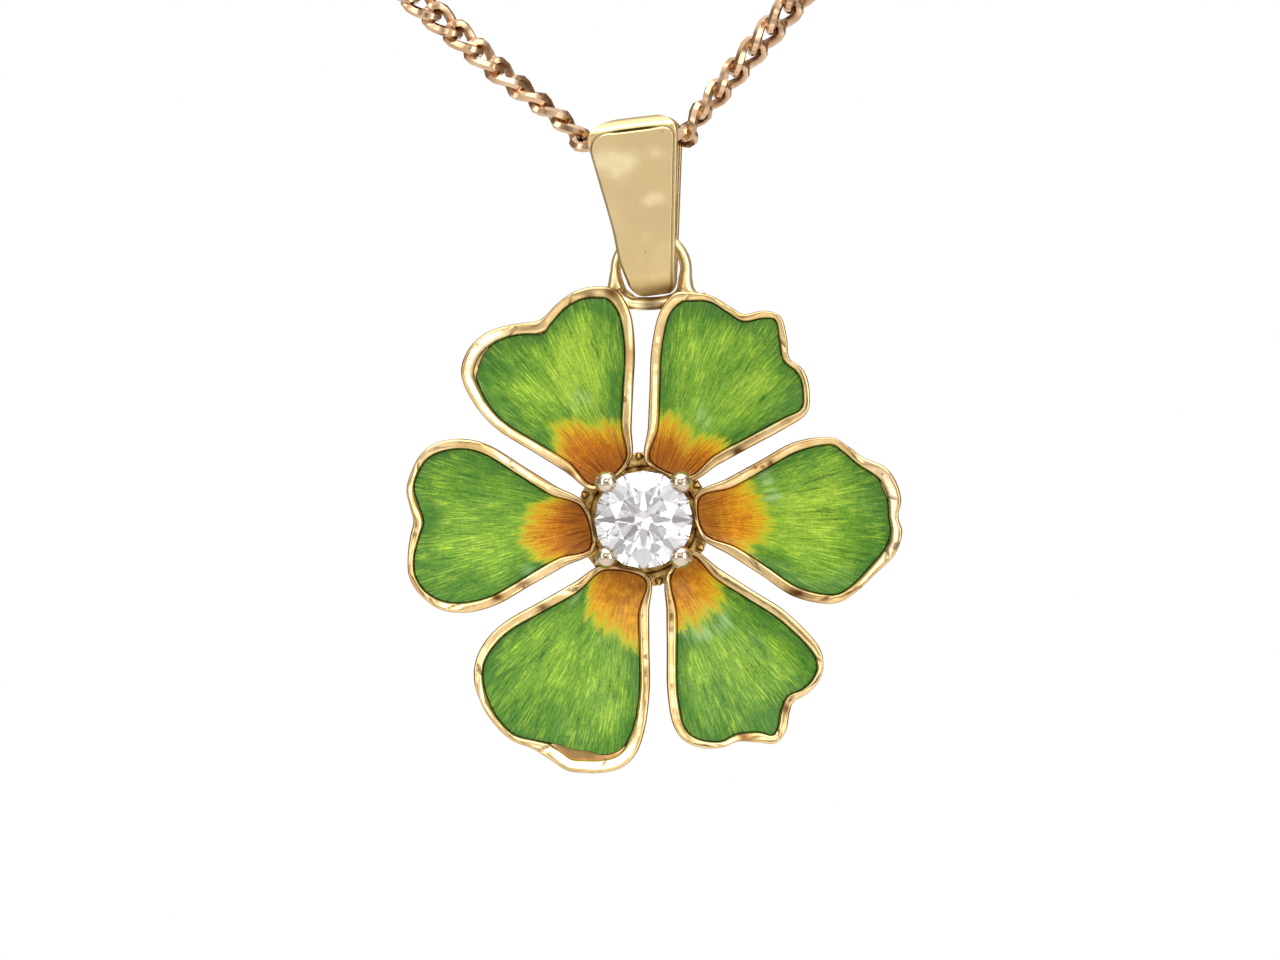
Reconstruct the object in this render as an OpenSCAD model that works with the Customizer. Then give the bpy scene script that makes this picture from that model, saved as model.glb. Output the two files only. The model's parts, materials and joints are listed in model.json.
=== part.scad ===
// A six-petalled flower pendant, enamelled gold with a claw-set stone, on its fine chain.
// The origin is the nape, where the loop of chain hangs from the back of a neck. The pendant
// hangs at the front of the loop and faces -Y, with +X to the viewer's right and +Z up.

/* [Petals] */
// Height of a petal's floor above the flower's back, at the hub
floor_at_hub = 0.95; // [0.8:0.05:1.1]
// Height of a petal's floor above the flower's back, at its tip
floor_at_tip = 1.95; // [1.4:0.05:2.2]
// Rise of the floor from a petal's middle line to its sides
dish_rise = 0.25; // [0:0.05:0.4]
// Thickness of the gold under the enamel
shell_t = 0.7; // [0.5:0.05:0.8]
// Height of the gold rim above the floor
rim_h = 0.45; // [0.35:0.05:0.6]
// Width of the rim along the slots between the petals
side_rim_w = 0.45; // [0.35:0.05:0.5]
// Thickness of the enamel at a petal's middle line
enamel_t = 0.25; // [0.15:0.05:0.3]

/* [Hub and stone] */
// Outer radius of the hub that joins the petals
hub_r = 2.75; // [2.7:0.05:2.9]
// Thickness of the hub
hub_t = 0.9; // [0.8:0.05:0.9]
// Radius of the seat for the claw setting
seat_r = 2.2; // [2.15:0.05:2.25]
// Diameter of the stone at its girdle
stone_d = 4; // [3.9:0.05:4.1]
// Height of the girdle above the flower's back
girdle_at = 2.95; // [2.9:0.05:3.1]
// Distance of each claw's head from the stone's middle
claw_at = 2.15; // [2.1:0.05:2.2]
// Diameter of a claw's head
claw_head_d = 0.9; // [0.8:0.05:1]

/* [Ring and bail] */
// Outer width of the ring that is soldered to the two upper petals
ring_w = 3.32; // [3.2:0.02:3.4]
// Thickness of the ring's wire
ring_wire_d = 0.46; // [0.4:0.02:0.5]
// Length of the bail from its top to its tip
bail_len = 7.3; // [7.2:0.1:7.6]
// Width of the bail at its top
bail_top_w = 3.75; // [3.4:0.05:3.8]
// Width of the bail just above its rounded tip
bail_tip_w = 1.95; // [1.8:0.05:2]
// Thickness of the bail's strip
bail_t = 0.4; // [0.35:0.05:0.45]
// Depth of the bail from front to back at its top
bail_depth = 3.9; // [3.6:0.1:4.2]
// Lean of the bail to the viewer's left, in degrees
bail_lean = 7.1; // [5:0.1:8]
// Turn of the bail about its own length, which shows its right side, in degrees
bail_turn = 3.5; // [0:0.5:4]

/* [Chain] */
// Thickness of the chain
chain_d = 0.9; // [0.8:0.05:1]
// Drop from the nape to the chain inside the bail
loop_drop = 101; // [95:1:110]
// Distance from the nape forward to the pendant
loop_depth = 107; // [100:1:115]
// Outer diameter of the clasp's ring
clasp_d = 5.6; // [5:0.1:6.5]

/* [Hidden] */
$fn = 48;

// Slots between the petals, counter-clockwise from the one at the upper right
// [bearing in degrees, shift to the left of a line from the flower's centre, half width]
SLOTS = [
    [28.5, 0.18, 0.33],
    [87.5, 0.32, 0.33],
    [148.3, 0.37, 0.35],
    [209.6, 0.45, 0.38],
    [270.5, 0.55, 0.35],
    [327.2, 0.34, 0.35]
];

// Outer edge of each petal, counter-clockwise, with the lobes and dents of its margin
// [bearing in degrees, reach from the flower's centre, width of the rim]
RIGHT = [
    [-24, 8.45, 0.4], [-19, 9.15, 0.35], [-13, 9.75, 0.4], [-8, 10.35, 0.5], [-3, 10.55, 0.5],
    [3, 10.5, 0.55], [9, 10.35, 0.6], [12.5, 10, 0.55], [16, 9.3, 0.4], [20, 8.85, 0.35],
    [24, 8.3, 0.35]
];
UPPER_RIGHT = [
    [33, 7.95, 0.35], [37, 8.5, 0.3], [41, 8.85, 0.3], [44.5, 8.95, 0.3], [48, 8.9, 0.3],
    [52, 9.5, 0.35], [56, 10, 0.3], [60, 9.85, 0.35], [64, 9.35, 0.35], [68, 9.4, 0.3],
    [73, 9.55, 0.3], [78, 9.5, 0.4], [82.5, 9.3, 0.5], [85.8, 8.4, 0.45]
];
UPPER_LEFT = [
    [93.5, 8.4, 0.5], [96.5, 9.4, 0.55], [101, 9.7, 0.5], [106, 9.75, 0.45], [111, 9.55, 0.4],
    [116, 9.25, 0.45], [120, 9.35, 0.55], [124.5, 9.65, 0.5], [129.5, 9.95, 0.55],
    [134.5, 10, 0.65], [139.5, 9.75, 0.7], [143, 9.2, 0.6], [146.4, 8.1, 0.5]
];
LEFT = [
    [155.8, 8.05, 0.45], [159.5, 9, 0.45], [164, 9.5, 0.35], [169, 9.7, 0.3], [173, 9.75, 0.35],
    [177, 9.55, 0.4], [180.5, 9.4, 0.45], [184, 9.55, 0.4], [189, 9.75, 0.3], [194, 9.85, 0.3],
    [199, 9.6, 0.3], [204, 9.05, 0.4], [207.8, 8.15, 0.45]
];
LOWER_LEFT = [
    [217.3, 8.05, 0.45], [220, 8.95, 0.4], [224, 9.6, 0.4], [229, 10.05, 0.35],
    [234, 10.35, 0.3], [239, 10.5, 0.3], [244, 10.4, 0.4], [248.5, 10.5, 0.7],
    [253, 10.7, 0.9], [257, 10.6, 0.9], [261, 10.45, 0.75], [265, 10.15, 0.7],
    [268.4, 9.5, 0.6], [270.6, 8.4, 0.5]
];
LOWER_RIGHT = [
    [278, 8.3, 0.45], [280, 9.1, 0.4], [284, 9.6, 0.35], [289, 9.85, 0.3], [293, 9.85, 0.35],
    [297, 10.2, 0.45], [300.5, 10.6, 0.4], [304, 10.4, 0.4], [308, 9.9, 0.4], [312, 9.85, 0.3],
    [317, 9.75, 0.3], [321, 9.45, 0.3], [324.5, 8.7, 0.4]
];
PETALS = [RIGHT, UPPER_RIGHT, UPPER_LEFT, LEFT, LOWER_LEFT, LOWER_RIGHT];

// Places along each side of a petal, from the hub outward: [distance from the centre, width of the rim]
SIDE_AT = [[2.3, 0.25], [3.8, side_rim_w], [5.3, side_rim_w], [6.9, side_rim_w]];
// Smoothing steps between two points of a petal's edge
EDGE_STEPS = 2;
// Distance from the flower's centre to a petal's middle, about which its floor is drawn
PETAL_MID = 6;
// Length of a petal beyond the hub, over which its floor rises, and half its width
PETAL_RUN = 7.3;
PETAL_HALF_W = 3.4;
// How far the petal's back and the foot of its rim lie inside its edge
BACK_INSET = 0.25;
FOOT_INSET = 0.05;
// How far the rim's outer and inner edges lie below its crest, and the crest's place across the rim
OUTER_DROP = 0.15;
INNER_DROP = 0.1;
CREST_AT = 0.45;
// Height over which the petal's back is drawn in
BACK_ROUND = 0.2;
// Gap between pieces that are set into one another, and under the enamel
GAP = 0.03;
BED = 0.08;
// How far the enamel's edge lies below the rim's crest
ENAMEL_DROP = 0.13;

// Floor of the claw setting's seat above the flower's back, and the bore through hub and setting
SEAT_W = 0.55;
SETTING_BORE_R = 1.35;
// Foot of each claw: [distance from the stone's middle, height above the flower's back]
CLAW_FOOT_R = 1.68;
CLAW_FOOT_W = 0.8;
CLAW_D = 0.64;
// Height of the collar below the claws, how far it lies inside the girdle, and the gallery's wire
COLLAR_H = 0.6;
COLLAR_INSET = 0.1;
GALLERY_W = 2;
GALLERY_D = 0.45;
// Height of cutting shapes that pass right through a piece
THROUGH = 6;

// Plane of the ring, bail and pendant's weight, above the flower's back
hang_w = 1.3;
// Middle of the ring, from the stone's centre
RING_X = 0.3;
RING_Z = 10.2;
// Foot of the straight legs beside the ring, and the bar between the two petals
RING_FOOT_Z = 8.75;
FOOT_D = 1;
FOOT_H = 0.75;
BAR_Z = 8.86;
BAR_D = 0.5;
ring_r = (ring_w - ring_wire_d) / 2;

// Tip of the bail, from the stone's centre
TIP_X = 0.45;
TIP_Z = 9.22;
// Round of the bail's tip and of its shoulders, seen from the side
TIP_R = 1.05;
SHOULDER_R = 0.85;
// Round of the tip, seen from the front: [distance from the strip's side, height above the tip]
TIP_CUTS = [[0.5, 0], [0.32, 0.04], [0.14, 0.16], [0.03, 0.36], [0, 0.6]];
// Round of the upper corners, seen from the front
LEFT_CORNER_R = 0.85;
RIGHT_CORNER_R = 0.45;
// Height of the chain's middle inside the bail, above the tip
chain_h = bail_len - bail_t - chain_d / 2 - GAP;
contact_x = TIP_X - chain_h * sin(bail_lean);
contact_z = TIP_Z + chain_h * cos(bail_lean);

// The stone's centre, from the nape
FLOWER_AT = [-contact_x, -loop_depth, -loop_drop - contact_z];

// Proportions of the round brilliant, as parts of its diameter
TABLE = 0.56;
CROWN = 0.15;
GIRDLE = 0.03;
PAVILION = 0.43;
LOWER_HALF = 0.22;
stone_r = stone_d / 2;

// Direction of the chain inside the bail, and where it leaves on each side
bail_axis = [cos(bail_turn) * cos(bail_lean), -sin(bail_turn), cos(bail_turn) * sin(bail_lean)];
IN_BAIL = [-2.05, -1, 0, 1, 2.05];

// The two halves of the loop, from the bail to the nape: across, back and up from the bail's middle
// They are drawn for a loop of RUN_DROP by RUN_DEPTH and scale with it
RIGHT_RUN = [
    [2.4, -0.12, 0.7], [3.6, -0.05, 2.4], [5, 0, 4.05], [6.4, 0, 5.7], [9.4, 0.2, 9.2],
    [14, 0.9, 14.2], [20, 2.6, 20.8], [26.5, 5.4, 28], [33.5, 9.6, 36], [40.5, 15.4, 44.4],
    [46.5, 23, 53], [51.5, 32.5, 62], [55.3, 43.5, 70.5], [57, 56, 78.5], [56, 69, 85.5],
    [52, 81, 91], [45, 91, 95], [36, 98.3, 98], [26, 103, 99.8], [15, 106, 100.7],
    [8, 106.8, 100.95]
];
LEFT_RUN = [
    [-2.45, 0.13, 0.08], [-3.4, 0.08, 0.95], [-5.4, 0, 2.5], [-7.2, 0, 4.05], [-9.2, 0, 5.75],
    [-12, 0.3, 8.3], [-16.5, 1.2, 12.7], [-22, 3.2, 18.7], [-28.5, 6.4, 26.2], [-35, 11, 34.6],
    [-41.5, 16.6, 43.8], [-47, 23.8, 53], [-51.7, 32.8, 62], [-55.3, 43.5, 70.5],
    [-57, 56, 78.5], [-56, 69, 85.5], [-52, 81, 91], [-45, 91, 95], [-36, 98.3, 98],
    [-26, 103, 99.8], [-15, 106, 100.7], [-8, 106.8, 100.95]
];
RUN_DROP = 101;
RUN_DEPTH = 107;
CHAIN_SIDES = 8;
// Steps of the route longer than this are halved
LONG_STEP = 8;
// Thickness of the clasp's ring, and its thumb knob: thickness, length and bearing
CLASP_WIRE_D = 1.1;
KNOB_D = 0.7;
KNOB_L = 1.2;
KNOB_AT = 60;

function reversed(list) = [for (i = [len(list) - 1 : -1 : 0]) list[i]];
function flat(lists) = [for (list = lists, item = list) item];
function scaled_run(run) =
    [for (p = run) [p.x, p.y * loop_depth / RUN_DEPTH - loop_depth, p.z * loop_drop / RUN_DROP - loop_drop]];

// Point at t between b and c on a smooth curve that passes through a, b, c and d
function curve(a, b, c, d, t) =
    b + t * ((c - a) + t * ((2 * a - 5 * b + 4 * c - d) + t * (3 * b - a - 3 * c + d))) / 2;

// Smooth closed curve through the points
function closed_curve(pts, steps) =
    let (n = len(pts))
    [for (i = [0 : n - 1], s = [0 : steps - 1])
        curve(pts[(i + n - 1) % n], pts[i], pts[(i + 1) % n], pts[(i + 2) % n], s / steps)];

// Point beside a slot's middle line
function beside(slot, shift, r) =
    r * [cos(slot[0]), sin(slot[0])] + (slot[1] + shift) * [-sin(slot[0]), cos(slot[0])];

// Edge of a petal as [x, z, width of the rim], between the slots before and after it
function petal_edge(i) =
    let (before = SLOTS[(i + 5) % 6], after = SLOTS[i])
    closed_curve(concat(
        [for (at = SIDE_AT) concat(beside(before, before[2], at[0]), at[1])],
        [for (row = PETALS[i]) [row[1] * cos(row[0]), row[1] * sin(row[0]), row[2]]],
        [for (at = reversed(SIDE_AT)) concat(beside(after, -after[2], at[0]), at[1])]
    ), EDGE_STEPS);

// Bearing of a petal's middle line
function petal_bearing(i) = (SLOTS[(i + 5) % 6][0] - (i == 0 ? 360 : 0) + SLOTS[i][0]) / 2;

// Height of a petal's floor: it rises toward the tip and toward the sides
function floor_height(p, bearing) =
    let (along = p.x * cos(bearing) + p.y * sin(bearing),
         across = p.y * cos(bearing) - p.x * sin(bearing),
         run = max(0, along - hub_r) / PETAL_RUN)
    floor_at_hub + (floor_at_tip - floor_at_hub) * pow(run, 1.3) + dish_rise * pow(across / PETAL_HALF_W, 2);

// The edge moved inward by a share of the rim's width plus a distance
function inset(edge, share, distance) =
    let (n = len(edge))
    [for (i = [0 : n - 1])
        let (along = edge[(i + 1) % n] - edge[(i + n - 1) % n],
             inward = [-along.y, along.x] / norm([along.x, along.y]),
             depth = share * edge[i][2] + distance)
        [edge[i].x + depth * inward.x, edge[i].y + depth * inward.y]];

// A ring of points drawn toward the petal's middle
function drawn_in(ring, bearing, share) =
    let (mid = PETAL_MID * [cos(bearing), sin(bearing)])
    [for (p = ring) mid + share * ([p.x, p.y] - mid)];

// A ring at a height above the flower's back, as points of the model
function raised(ring, heights) = [for (i = [0 : len(ring) - 1]) [ring[i].x, -heights[i], ring[i].y]];
function on_floor(ring, bearing, above) =
    raised(ring, [for (p = ring) floor_height(p, bearing) + above]);

// Closed skin over a stack of rings, with a point at each end
module skin(rings, first_point, last_point) {
    n = len(rings[0]);
    count = len(rings);
    points = concat(flat(rings), [first_point, last_point]);
    faces = concat(
        [for (k = [0 : count - 2], i = [0 : n - 1])
            [k * n + i, (k + 1) * n + i, k * n + (i + 1) % n]],
        [for (k = [0 : count - 2], i = [0 : n - 1])
            [k * n + (i + 1) % n, (k + 1) * n + i, (k + 1) * n + (i + 1) % n]],
        [for (i = [0 : n - 1]) [count * n, i, (i + 1) % n]],
        [for (i = [0 : n - 1])
            [count * n + 1, (count - 1) * n + (i + 1) % n, (count - 1) * n + i]]
    );
    polyhedron(points, faces);
}

// Middle of a petal at a height above its floor
function middle(bearing, above) =
    let (mid = PETAL_MID * [cos(bearing), sin(bearing)])
    [mid.x, -floor_height(mid, bearing) - above, mid.y];

// One gold petal: a shallow dish with a raised, rounded rim
module petal(i) {
    edge = petal_edge(i);
    bearing = petal_bearing(i);
    back = inset(edge, 0, BACK_INSET);
    floor_edge = inset(edge, 1, FOOT_INSET);
    skin([
        on_floor(drawn_in(back, bearing, 0.5), bearing, -shell_t),
        on_floor(back, bearing, -shell_t),
        on_floor(edge, bearing, BACK_ROUND - shell_t),
        on_floor(edge, bearing, rim_h - OUTER_DROP),
        on_floor(inset(edge, CREST_AT, 0), bearing, rim_h),
        on_floor(inset(edge, 1, 0), bearing, rim_h - INNER_DROP),
        on_floor(floor_edge, bearing, 0),
        on_floor(drawn_in(floor_edge, bearing, 0.6), bearing, 0)
    ], middle(bearing, -shell_t), middle(bearing, 0));
}

// The enamel that fills a petal to just below its rim
module enamel(i) color("limegreen") at_flower() {
    edge = petal_edge(i);
    bearing = petal_bearing(i);
    rim = inset(edge, 1, FOOT_INSET + GAP);
    top = rim_h - ENAMEL_DROP;
    skin([
        on_floor(drawn_in(rim, bearing, 0.6), bearing, BED),
        on_floor(rim, bearing, BED),
        on_floor(rim, bearing, top),
        on_floor(drawn_in(rim, bearing, 0.85), bearing, (top + enamel_t) / 2),
        on_floor(drawn_in(rim, bearing, 0.5), bearing, enamel_t)
    ], middle(bearing, BED), middle(bearing, enamel_t));
}

// Moves a shape drawn on the flower's plane, with its height as z, into the model
module facing_front() rotate([90, 0, 0]) children();

// The flower's own frame, from the stone's centre at the flower's back
module at_flower() translate(FLOWER_AT + [0, hang_w, 0]) children();

// The arched ring on two legs, whose feet spread into the petals, and the bar between them
module ring() {
    leg = RING_Z - RING_FOOT_Z;
    translate([RING_X, -hang_w, RING_Z]) {
        intersection() {
            rotate([90, 0, 0]) rotate_extrude() translate([ring_r, 0]) circle(d = ring_wire_d);
            translate([-ring_w, -ring_w, 0]) cube(2 * ring_w);
        }
        for (side = [-1, 1]) translate([side * ring_r, 0, -leg]) {
            cylinder(d = ring_wire_d, h = leg);
            cylinder(d1 = FOOT_D, d2 = ring_wire_d, h = FOOT_H);
        }
    }
    translate([RING_X - ring_r, -hang_w, BAR_Z]) rotate([0, 90, 0]) cylinder(d = BAR_D, h = 2 * ring_r);
}

module flower_frame() color("goldenrod") at_flower() {
    difference() {
        union() {
            facing_front() cylinder(r = hub_r, h = hub_t);
            for (i = [0 : 5]) petal(i);
        }
        facing_front() translate([0, 0, SEAT_W]) cylinder(r = seat_r, h = THROUGH);
        facing_front() cylinder(r = SETTING_BORE_R, h = THROUGH, center = true);
    }
    ring();
}

module claw_setting() color("lightgray") at_flower() facing_front() difference() {
    union() {
        translate([0, 0, SEAT_W + GAP]) cylinder(r = stone_r - COLLAR_INSET, h = COLLAR_H);
        translate([0, 0, GALLERY_W]) rotate_extrude() translate([CLAW_FOOT_R, 0]) circle(d = GALLERY_D);
        for (bearing = [45 : 90 : 315]) rotate(bearing) {
            lean = atan2(claw_at - CLAW_FOOT_R, girdle_at - CLAW_FOOT_W);
            translate([CLAW_FOOT_R, 0, CLAW_FOOT_W]) rotate([0, lean, 0])
                cylinder(d = CLAW_D, h = (girdle_at - CLAW_FOOT_W) / cos(lean));
            translate([claw_at, 0, girdle_at]) sphere(d = claw_head_d);
        }
    }
    cylinder(r = SETTING_BORE_R, h = girdle_at);
    stone_room();
}

// Space that the stone takes inside the claws
module stone_room() {
    r = stone_r + GAP;
    crown = CROWN * stone_d;
    translate([0, 0, girdle_at - GAP]) cylinder(r = r, h = GIRDLE * stone_d + 2 * GAP);
    translate([0, 0, girdle_at + GIRDLE * stone_d + GAP]) cylinder(r1 = r, r2 = r * TABLE, h = crown);
    translate([0, 0, girdle_at - GAP - PAVILION * stone_d]) cylinder(r1 = 0.01, r2 = r, h = PAVILION * stone_d);
}

// Points round the stone at a height above the flower's back
function ring_at(r, w, count, turn) =
    [for (k = [0 : count - 1]) let (a = turn + k * 360 / count) [r * cos(a), -w, r * sin(a)]];

// The stone: a table, 8 stars, 8 kites and 16 upper facets over a girdle, and 24 facets below it
module stone() color("white") at_flower() {
    table_r = TABLE * stone_r;
    crown = CROWN * stone_d;
    pavilion = PAVILION * stone_d;
    mid_r = (table_r * cos(22.5) + stone_r) / 2;
    mid_h = crown * (stone_r - mid_r * cos(22.5)) / (stone_r - table_r);
    low_r = LOWER_HALF * stone_r;
    low_h = pavilion * (1 - low_r * cos(22.5) / stone_r);
    top = girdle_at + GIRDLE * stone_d;
    points = concat(
        ring_at(table_r, top + crown, 8, 0),
        ring_at(mid_r, top + mid_h, 8, 22.5),
        ring_at(stone_r, top, 16, 0),
        ring_at(stone_r, girdle_at, 16, 0),
        ring_at(low_r, girdle_at - low_h, 8, 22.5),
        [[0, pavilion - girdle_at, 0]]
    );
    table = [for (k = [7 : -1 : 0]) k];
    faces = concat([table], flat([for (k = [0 : 7])
        let (t = k, t2 = (k + 1) % 8, m = 8 + k, m0 = 8 + (k + 7) % 8,
             g = 16 + 2 * k, g1 = g + 1, g2 = 16 + (2 * k + 2) % 16,
             h = 16 + g, h1 = h + 1, h2 = 16 + g2,
             low = 48 + k, low0 = 48 + (k + 7) % 8)
        [[t, t2, m], [t, m, g, m0], [m, g1, g], [m, g2, g1],
         [g, g1, h1, h], [g1, g2, h2, h1],
         [h, h1, low], [h1, h2, low], [56, low0, h, low]]]));
    polyhedron(points, faces);
}

// Side view of the bail, drawn from its tip: straight faces that lean apart from a round tip to two
// round shoulders, with a flat top between them
module drop(shrink) {
    tip_r = TIP_R - shrink;
    shoulder_r = SHOULDER_R - shrink;
    reach = bail_depth / 2 - SHOULDER_R;
    rise = bail_len - SHOULDER_R - TIP_R;
    slope = atan2(reach, rise) + asin((SHOULDER_R - TIP_R) / norm([reach, rise]));
    face = [cos(slope), -sin(slope)];
    shoulder = [reach, bail_len - SHOULDER_R];
    right = [[0, TIP_R] + tip_r * face, shoulder + shoulder_r * face, shoulder + [0, shoulder_r]];
    translate([0, TIP_R]) circle(r = tip_r);
    for (side = [-1, 1]) translate([side * shoulder.x, shoulder.y]) circle(r = shoulder_r);
    polygon(concat(right, [for (p = reversed(right)) [-p.x, p.y]]));
}

// Front view of the bail: a strip with round upper corners that narrows to a rounded tip
module strip_front() {
    left_x = LEFT_CORNER_R - bail_top_w / 2;
    right_x = bail_top_w / 2 - RIGHT_CORNER_R;
    right = [for (cut = TIP_CUTS) [bail_tip_w / 2 - cut[0], cut[1]]];
    translate([left_x, bail_len - LEFT_CORNER_R]) circle(r = LEFT_CORNER_R);
    translate([right_x, bail_len - RIGHT_CORNER_R]) circle(r = RIGHT_CORNER_R);
    polygon(concat(
        right,
        [[bail_top_w / 2, bail_len - RIGHT_CORNER_R], [right_x, bail_len]],
        [[left_x, bail_len], [-bail_top_w / 2, bail_len - LEFT_CORNER_R]],
        [for (p = reversed(right)) [-p.x, p.y]]
    ));
}

module bail() color("gold")
translate(FLOWER_AT + [TIP_X, 0, TIP_Z]) rotate([0, -bail_lean, 0]) rotate(-bail_turn) intersection() {
    rotate([90, 0, 90]) linear_extrude(THROUGH, center = true) difference() {
        drop(0);
        drop(bail_t);
    }
    rotate([90, 0, 0]) linear_extrude(THROUGH, center = true) strip_front();
}

// Middle line of the chain, from the clasp's left side round the pendant to its right side
function chain_route() =
    let (inside = [for (reach = IN_BAIL) [0, -loop_depth, -loop_drop] + reach * bail_axis],
         way = concat(reversed(scaled_run(LEFT_RUN)), inside, scaled_run(RIGHT_RUN)),
         start = [-clasp_d / 2 - 0.1, 0, 0], end = [clasp_d / 2 + 0.1, 0, 0],
         pts = concat([start], way, [end]), n = len(pts))
    concat(
        [for (i = [0 : n - 2], s = [0 : 1])
            if (s == 0 || norm(pts[i + 1] - pts[i]) > LONG_STEP)
            curve(pts[max(0, i - 1)], pts[i], pts[i + 1], pts[min(n - 1, i + 2)], s / 2)],
        [end]);

module chain() color("rosybrown") {
    route = chain_route();
    count = len(route);
    slope = [0, -loop_drop, loop_depth] / norm([0, loop_drop, loop_depth]);
    rings = [for (k = [0 : count - 1])
        let (ahead = route[min(k + 1, count - 1)] - route[max(k - 1, 0)],
             across = cross(ahead, slope) / norm(cross(ahead, slope)),
             up = cross(ahead, across) / norm(ahead))
        [for (i = [0 : CHAIN_SIDES - 1])
            let (a = (i + 0.5) * 360 / CHAIN_SIDES)
            route[k] + chain_d / 2 * (cos(a) * across + sin(a) * up)]];
    skin(rings, route[0], route[count - 1]);
}

// The clasp: a ring with a small thumb knob, in one piece
module clasp() color("rosybrown") {
    ring_at = clasp_d / 2 - CLASP_WIRE_D / 2;
    rotate_extrude() translate([ring_at, 0]) circle(d = CLASP_WIRE_D);
    rotate(KNOB_AT) translate([ring_at, 0, 0]) cylinder(d = KNOB_D, h = KNOB_L);
}

chain();
clasp();
bail();
flower_frame();
claw_setting();
stone();
enamel(0);  // enamel_right
enamel(1);  // enamel_upper_right
enamel(2);  // enamel_upper_left
enamel(3);  // enamel_left
enamel(4);  // enamel_lower_left
enamel(5);  // enamel_lower_right
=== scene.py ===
import json

import bpy
import numpy as np
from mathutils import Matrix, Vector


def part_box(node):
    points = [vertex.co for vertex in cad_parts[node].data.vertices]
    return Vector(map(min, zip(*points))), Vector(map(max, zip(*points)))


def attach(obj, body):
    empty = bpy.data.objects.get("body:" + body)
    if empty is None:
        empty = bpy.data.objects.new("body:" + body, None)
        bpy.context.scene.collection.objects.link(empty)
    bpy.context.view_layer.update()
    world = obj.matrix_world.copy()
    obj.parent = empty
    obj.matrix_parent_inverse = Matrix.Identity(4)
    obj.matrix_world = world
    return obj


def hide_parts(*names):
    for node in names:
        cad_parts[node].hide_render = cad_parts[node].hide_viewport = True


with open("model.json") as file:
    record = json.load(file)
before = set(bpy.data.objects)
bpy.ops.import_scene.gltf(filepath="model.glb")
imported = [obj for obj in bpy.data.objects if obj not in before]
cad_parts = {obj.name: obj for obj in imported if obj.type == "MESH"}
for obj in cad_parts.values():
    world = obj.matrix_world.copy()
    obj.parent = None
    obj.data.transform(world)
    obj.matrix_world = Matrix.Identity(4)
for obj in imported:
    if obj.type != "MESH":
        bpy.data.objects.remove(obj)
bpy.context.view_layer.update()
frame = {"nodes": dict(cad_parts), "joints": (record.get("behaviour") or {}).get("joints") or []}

# Gold petals. Each of the six is a shallow dish pressed from yellow gold, with a raised, polished rim
# round its lobed margin. They are soldered to the hub side by side, with a slot between neighbours.
# Sizes here and below are in millimetres, and heights are measured from the flower's flat back.
MM = 0.001
CULET_HEIGHT = 1.23
stone_low, stone_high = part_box("stone")
flower_x, flower_z = (stone_low.x + stone_high.x) / 2, (stone_low.z + stone_high.z) / 2
flower_back = stone_high.y + CULET_HEIGHT * MM
HUB_R, REACH = 2.75, 7.3
FLOOR_AT_HUB, FLOOR_RISE, FLOOR_POWER = 0.95, 1.0, 1.3
DISH_RISE, DISH_HALF_W = 0.25, 3.4
SHELL_T, EDGE_ROUND, RIM_H = 0.7, 0.2, 0.45
# The rim's lip, the roll that counts as full, and how far a full roll stands up on its outer side
LIP_W, LIP_ROUND, FULL_ROLL, ROLLED_TIP = 0.52, 0.16, 0.2, 0.12
# The trough inside the lip: its height, fall and least width, and the lean of the enamel's wall
TROUGH, TROUGH_FALL, TROUGH_LEAST_W, WALL_LEAN = 0.27, 0.03, 0.04, 0.03
# A crease's depth, and its half width in radians
CREASE_DEPTH, CREASE_HALF_W = 0.06, 0.008
PETAL_MID = 6.0
SIDE_RIM_W = 0.45
EDGE_STEPS = 12
# Slots, counter-clockwise from the upper right: bearing, shift to the left of its line, half width
SLOTS = np.array([
    [28.5, 0.18, 0.33], [87.5, 0.32, 0.33], [148.3, 0.37, 0.35],
    [209.6, 0.45, 0.38], [270.5, 0.55, 0.35], [327.2, 0.34, 0.35],
])
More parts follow.
